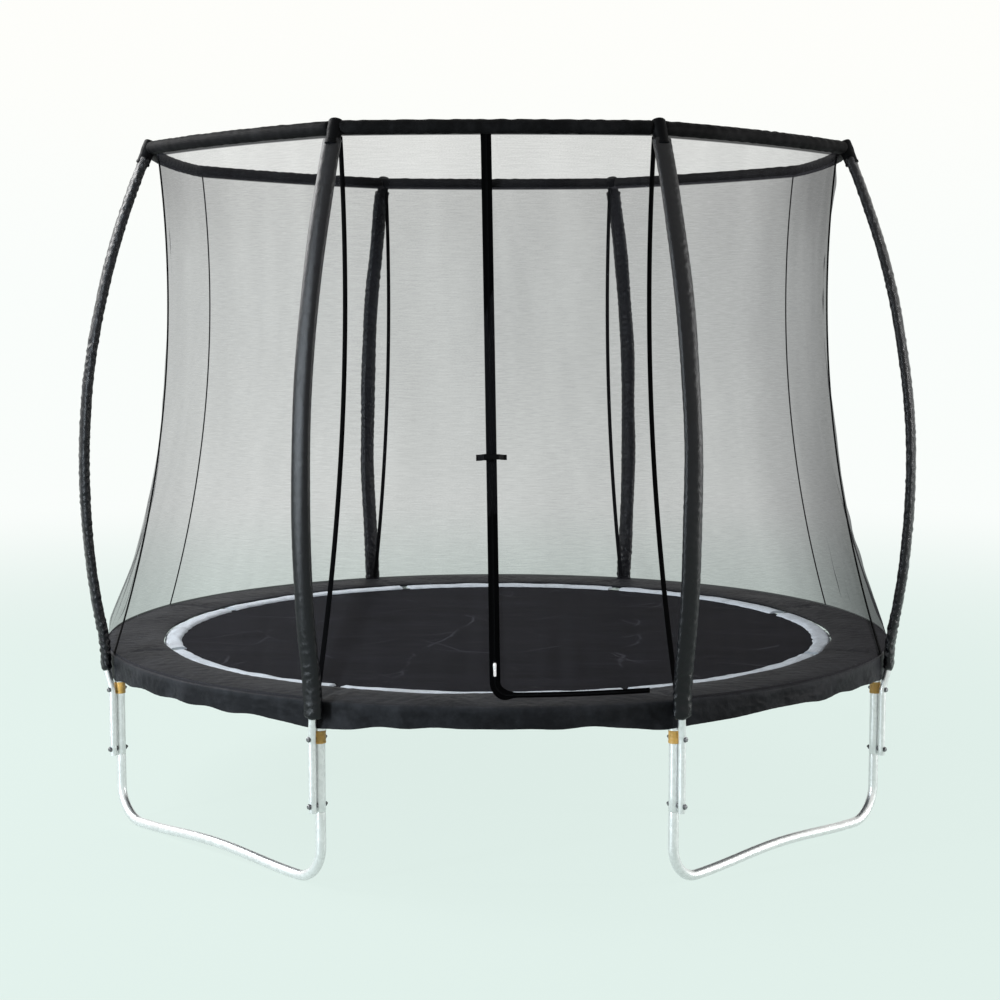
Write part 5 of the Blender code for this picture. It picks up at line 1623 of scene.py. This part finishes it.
    def tongue(self) -> None:
        """Build the buckle's tongue: a strap, and a round-ended blade with two raised ribs."""
        low, high = self.shelf + 0.0025, self.shelf + 0.0055
        strap = self.lead(1, 0.0176, low, high, 0.0042)
        shape = Shape().add(self.placed(strap, self.buckle_height), caps=True)
        blade = slab(oblong(0.0128, 0.0068, 48, 4.5), [(0.0008, low), (0, low + 0.0007), (0, high - 0.0012),
                                                       (0.0008, high - 0.0006)]) - (0.0070, 0, 0)
        shape.add(self.placed(blade, self.buckle_height), caps=True)
        for side in (-0.0038, 0.0038):
            x = np.linspace(-0.0165, 0.0045, 12)
            path = np.stack([x, np.full(12, side), np.full(12, high - 0.0008)], -1)
            rib = sweep(path, oblong(0.0011, 0.0008, 12, 2.5), np.array([0, 1.0, 0]))
            shape.add(self.placed(rib, self.buckle_height), caps=True)
        shape.piece("buckle_blade", BLACK_PLASTIC, Body.TONGUE, Slot.PLASTIC, "buckle_tongue", angle=35)

    def build(self) -> None:
        """Build the slider, its pull and both halves of the buckle."""
        self.slider()
        self.pull()
        self.socket()
        self.tongue()


@dataclass
class Studio:
    """Floor, soft lights, pale surroundings and the camera."""

    near: Colour = (0.80, 0.925, 0.875)
    far: Colour = (0.955, 0.985, 0.965)
    sky: Colour = (0.99, 0.99, 0.96)
    light: Colour = (0.97, 1.0, 1.0)
    floor_radius: float = 60.0
    shadow_share: float = 0.10
    front: float = 0.03
    back: float = 0.70
    camera: tuple[float, float, float] = (0.00924, -7.357, 1.854)
    pitch: float = 0.097357
    lens: float = 67.38

    def seen(self, recipe: Recipe) -> Value:
        """1 for rays that show the surroundings plainly: from the camera, off a gloss or through glass."""
        ways = ("Is Camera Ray", "Is Glossy Ray", "Is Transmission Ray")
        camera, gloss, glass = (recipe.node("ShaderNodeLightPath", {}, {}, way) for way in ways)
        return camera.highest(gloss).highest(glass)

    def floor(self) -> None:
        """Build a wide round floor that shades off into the surroundings."""
        radius = np.geomspace(0.5, self.floor_radius, 24)[1:, None]
        angle = np.linspace(0, 2 * math.pi, 97)[:-1]
        grid = polar(radius, angle[None], -0.0005)
        shape = Shape().add(grid, facing=Facing.UP)
        shape.faces.append(list(range(96)))
        shape.map.append(np.zeros((96, 2)))
        mesh = bpy.data.meshes.new("studio_floor")
        mesh.from_pydata(np.concatenate(shape.points).tolist(), [], shape.faces)
        recipe = Recipe("studio_floor")
        x, y, _ = recipe.parts(recipe.place())
        out = ((x * x + y * y) ** 0.5).ramp(2.2, 12.0)
        tone = recipe.blend(out, self.near, self.far)
        matt = recipe.node("ShaderNodeBsdfDiffuse", {}, {"Color": (0.32, 0.35, 0.34, 1.0)})
        glow = recipe.node("ShaderNodeEmission", {}, {"Color": tone})
        share = self.seen(recipe) * (1 - self.shadow_share + out * self.shadow_share)
        mixed = recipe.node("ShaderNodeMixShader", {}, {0: share, 1: matt, 2: glow})
        recipe.node("ShaderNodeOutputMaterial", {}, {"Surface": mixed})
        mesh.materials.append(recipe.owner)
        obj = bpy.data.objects.new("studio_floor", mesh)
        bpy.context.scene.collection.objects.link(obj)

    def surroundings(self) -> None:
        """Light from the far side and above, and show a pale colour to the camera."""
        scene = bpy.context.scene
        scene.world = scene.world or bpy.data.worlds.new("studio")
        recipe = Recipe("studio", scene.world)
        _, y, up = recipe.parts(recipe.node("ShaderNodeTexCoord", {}, {}, "Generated"))
        tone = recipe.blend(up.ramp(0.0, 0.16), self.far, self.sky)
        shown = recipe.node("ShaderNodeBackground", {}, {"Color": tone})
        level = self.front + (y * 0.8 + up * 0.6).ramp(-0.5, 0.9) * (self.back - self.front)
        shade = recipe.blend(level, (0, 0, 0), self.light)
        lit = recipe.node("ShaderNodeBackground", {}, {"Color": shade})
        mixed = recipe.node("ShaderNodeMixShader", {}, {0: self.seen(recipe), 1: lit, 2: shown})
        recipe.node("ShaderNodeOutputWorld", {}, {"Surface": mixed})

    def lamp(self, name: str, place: Colour, aim: Colour, size: tuple[float, float], power: float,
             colour: Colour = (1.0, 1.0, 1.0)) -> None:
        """Add a soft rectangular lamp that faces a point."""
        data = bpy.data.lights.new(name, "AREA")
        data.shape, data.size, data.size_y, data.energy, data.color = "RECTANGLE", *size, power, colour
        lamp = bpy.data.objects.new(name, data)
        away = unit(np.array(place) - np.array(aim))
        lamp.location = place
        lamp.rotation_euler = (math.acos(away[2]), 0, math.atan2(away[1], away[0]) + math.pi / 2)
        bpy.context.scene.collection.objects.link(lamp)

    def build(self) -> None:
        """Build the studio."""
        self.floor()
        self.surroundings()
        self.lamp("key_lamp", (-3.5, -6.0, 6.5), (0, -0.5, 0.6), (3.0, 3.0), 12)
        self.lamp("top_lamp", (-4.0, 0.4, 3.9), (-0.2, 0, 0.6), (2.5, 2.5), 250)
        self.lamp("window_lamp", (-5.2, -4.6, 2.2), (0, -0.5, 1.5), (0.8, 4.2), 430, (0.82, 0.92, 1.0))
        self.lamp("edge_lamp", (6.5, -1.6, 2.2), (0, 0, 1.4), (0.5, 3.6), 260)
        data = bpy.data.cameras.new("photo_camera")
        data.lens, data.sensor_width, data.clip_end = self.lens, 36.0, 200.0
        camera = bpy.data.objects.new("photo_camera", data)
        camera.location = self.camera
        camera.rotation_euler = (math.pi / 2 - self.pitch, 0, 0)
        bpy.context.scene.collection.objects.link(camera)
        bpy.context.scene.camera = camera
        bpy.context.scene.view_settings.view_transform = "Standard"


def main() -> None:
    """Build the studio and every piece."""
    logging.basicConfig(level=logging.INFO, format="%(name)s: %(message)s")
    for assembly in (Studio(), BaseFrame(), Legs(), Poles(), TopRing(), JumpingMat(), SpringPad()):
        assembly.build()
    enclosure = Enclosure()
    enclosure.build()
    ZipFastening().build(*enclosure.crease())
    Hardware().build()


if __name__ == "__main__":
    main()
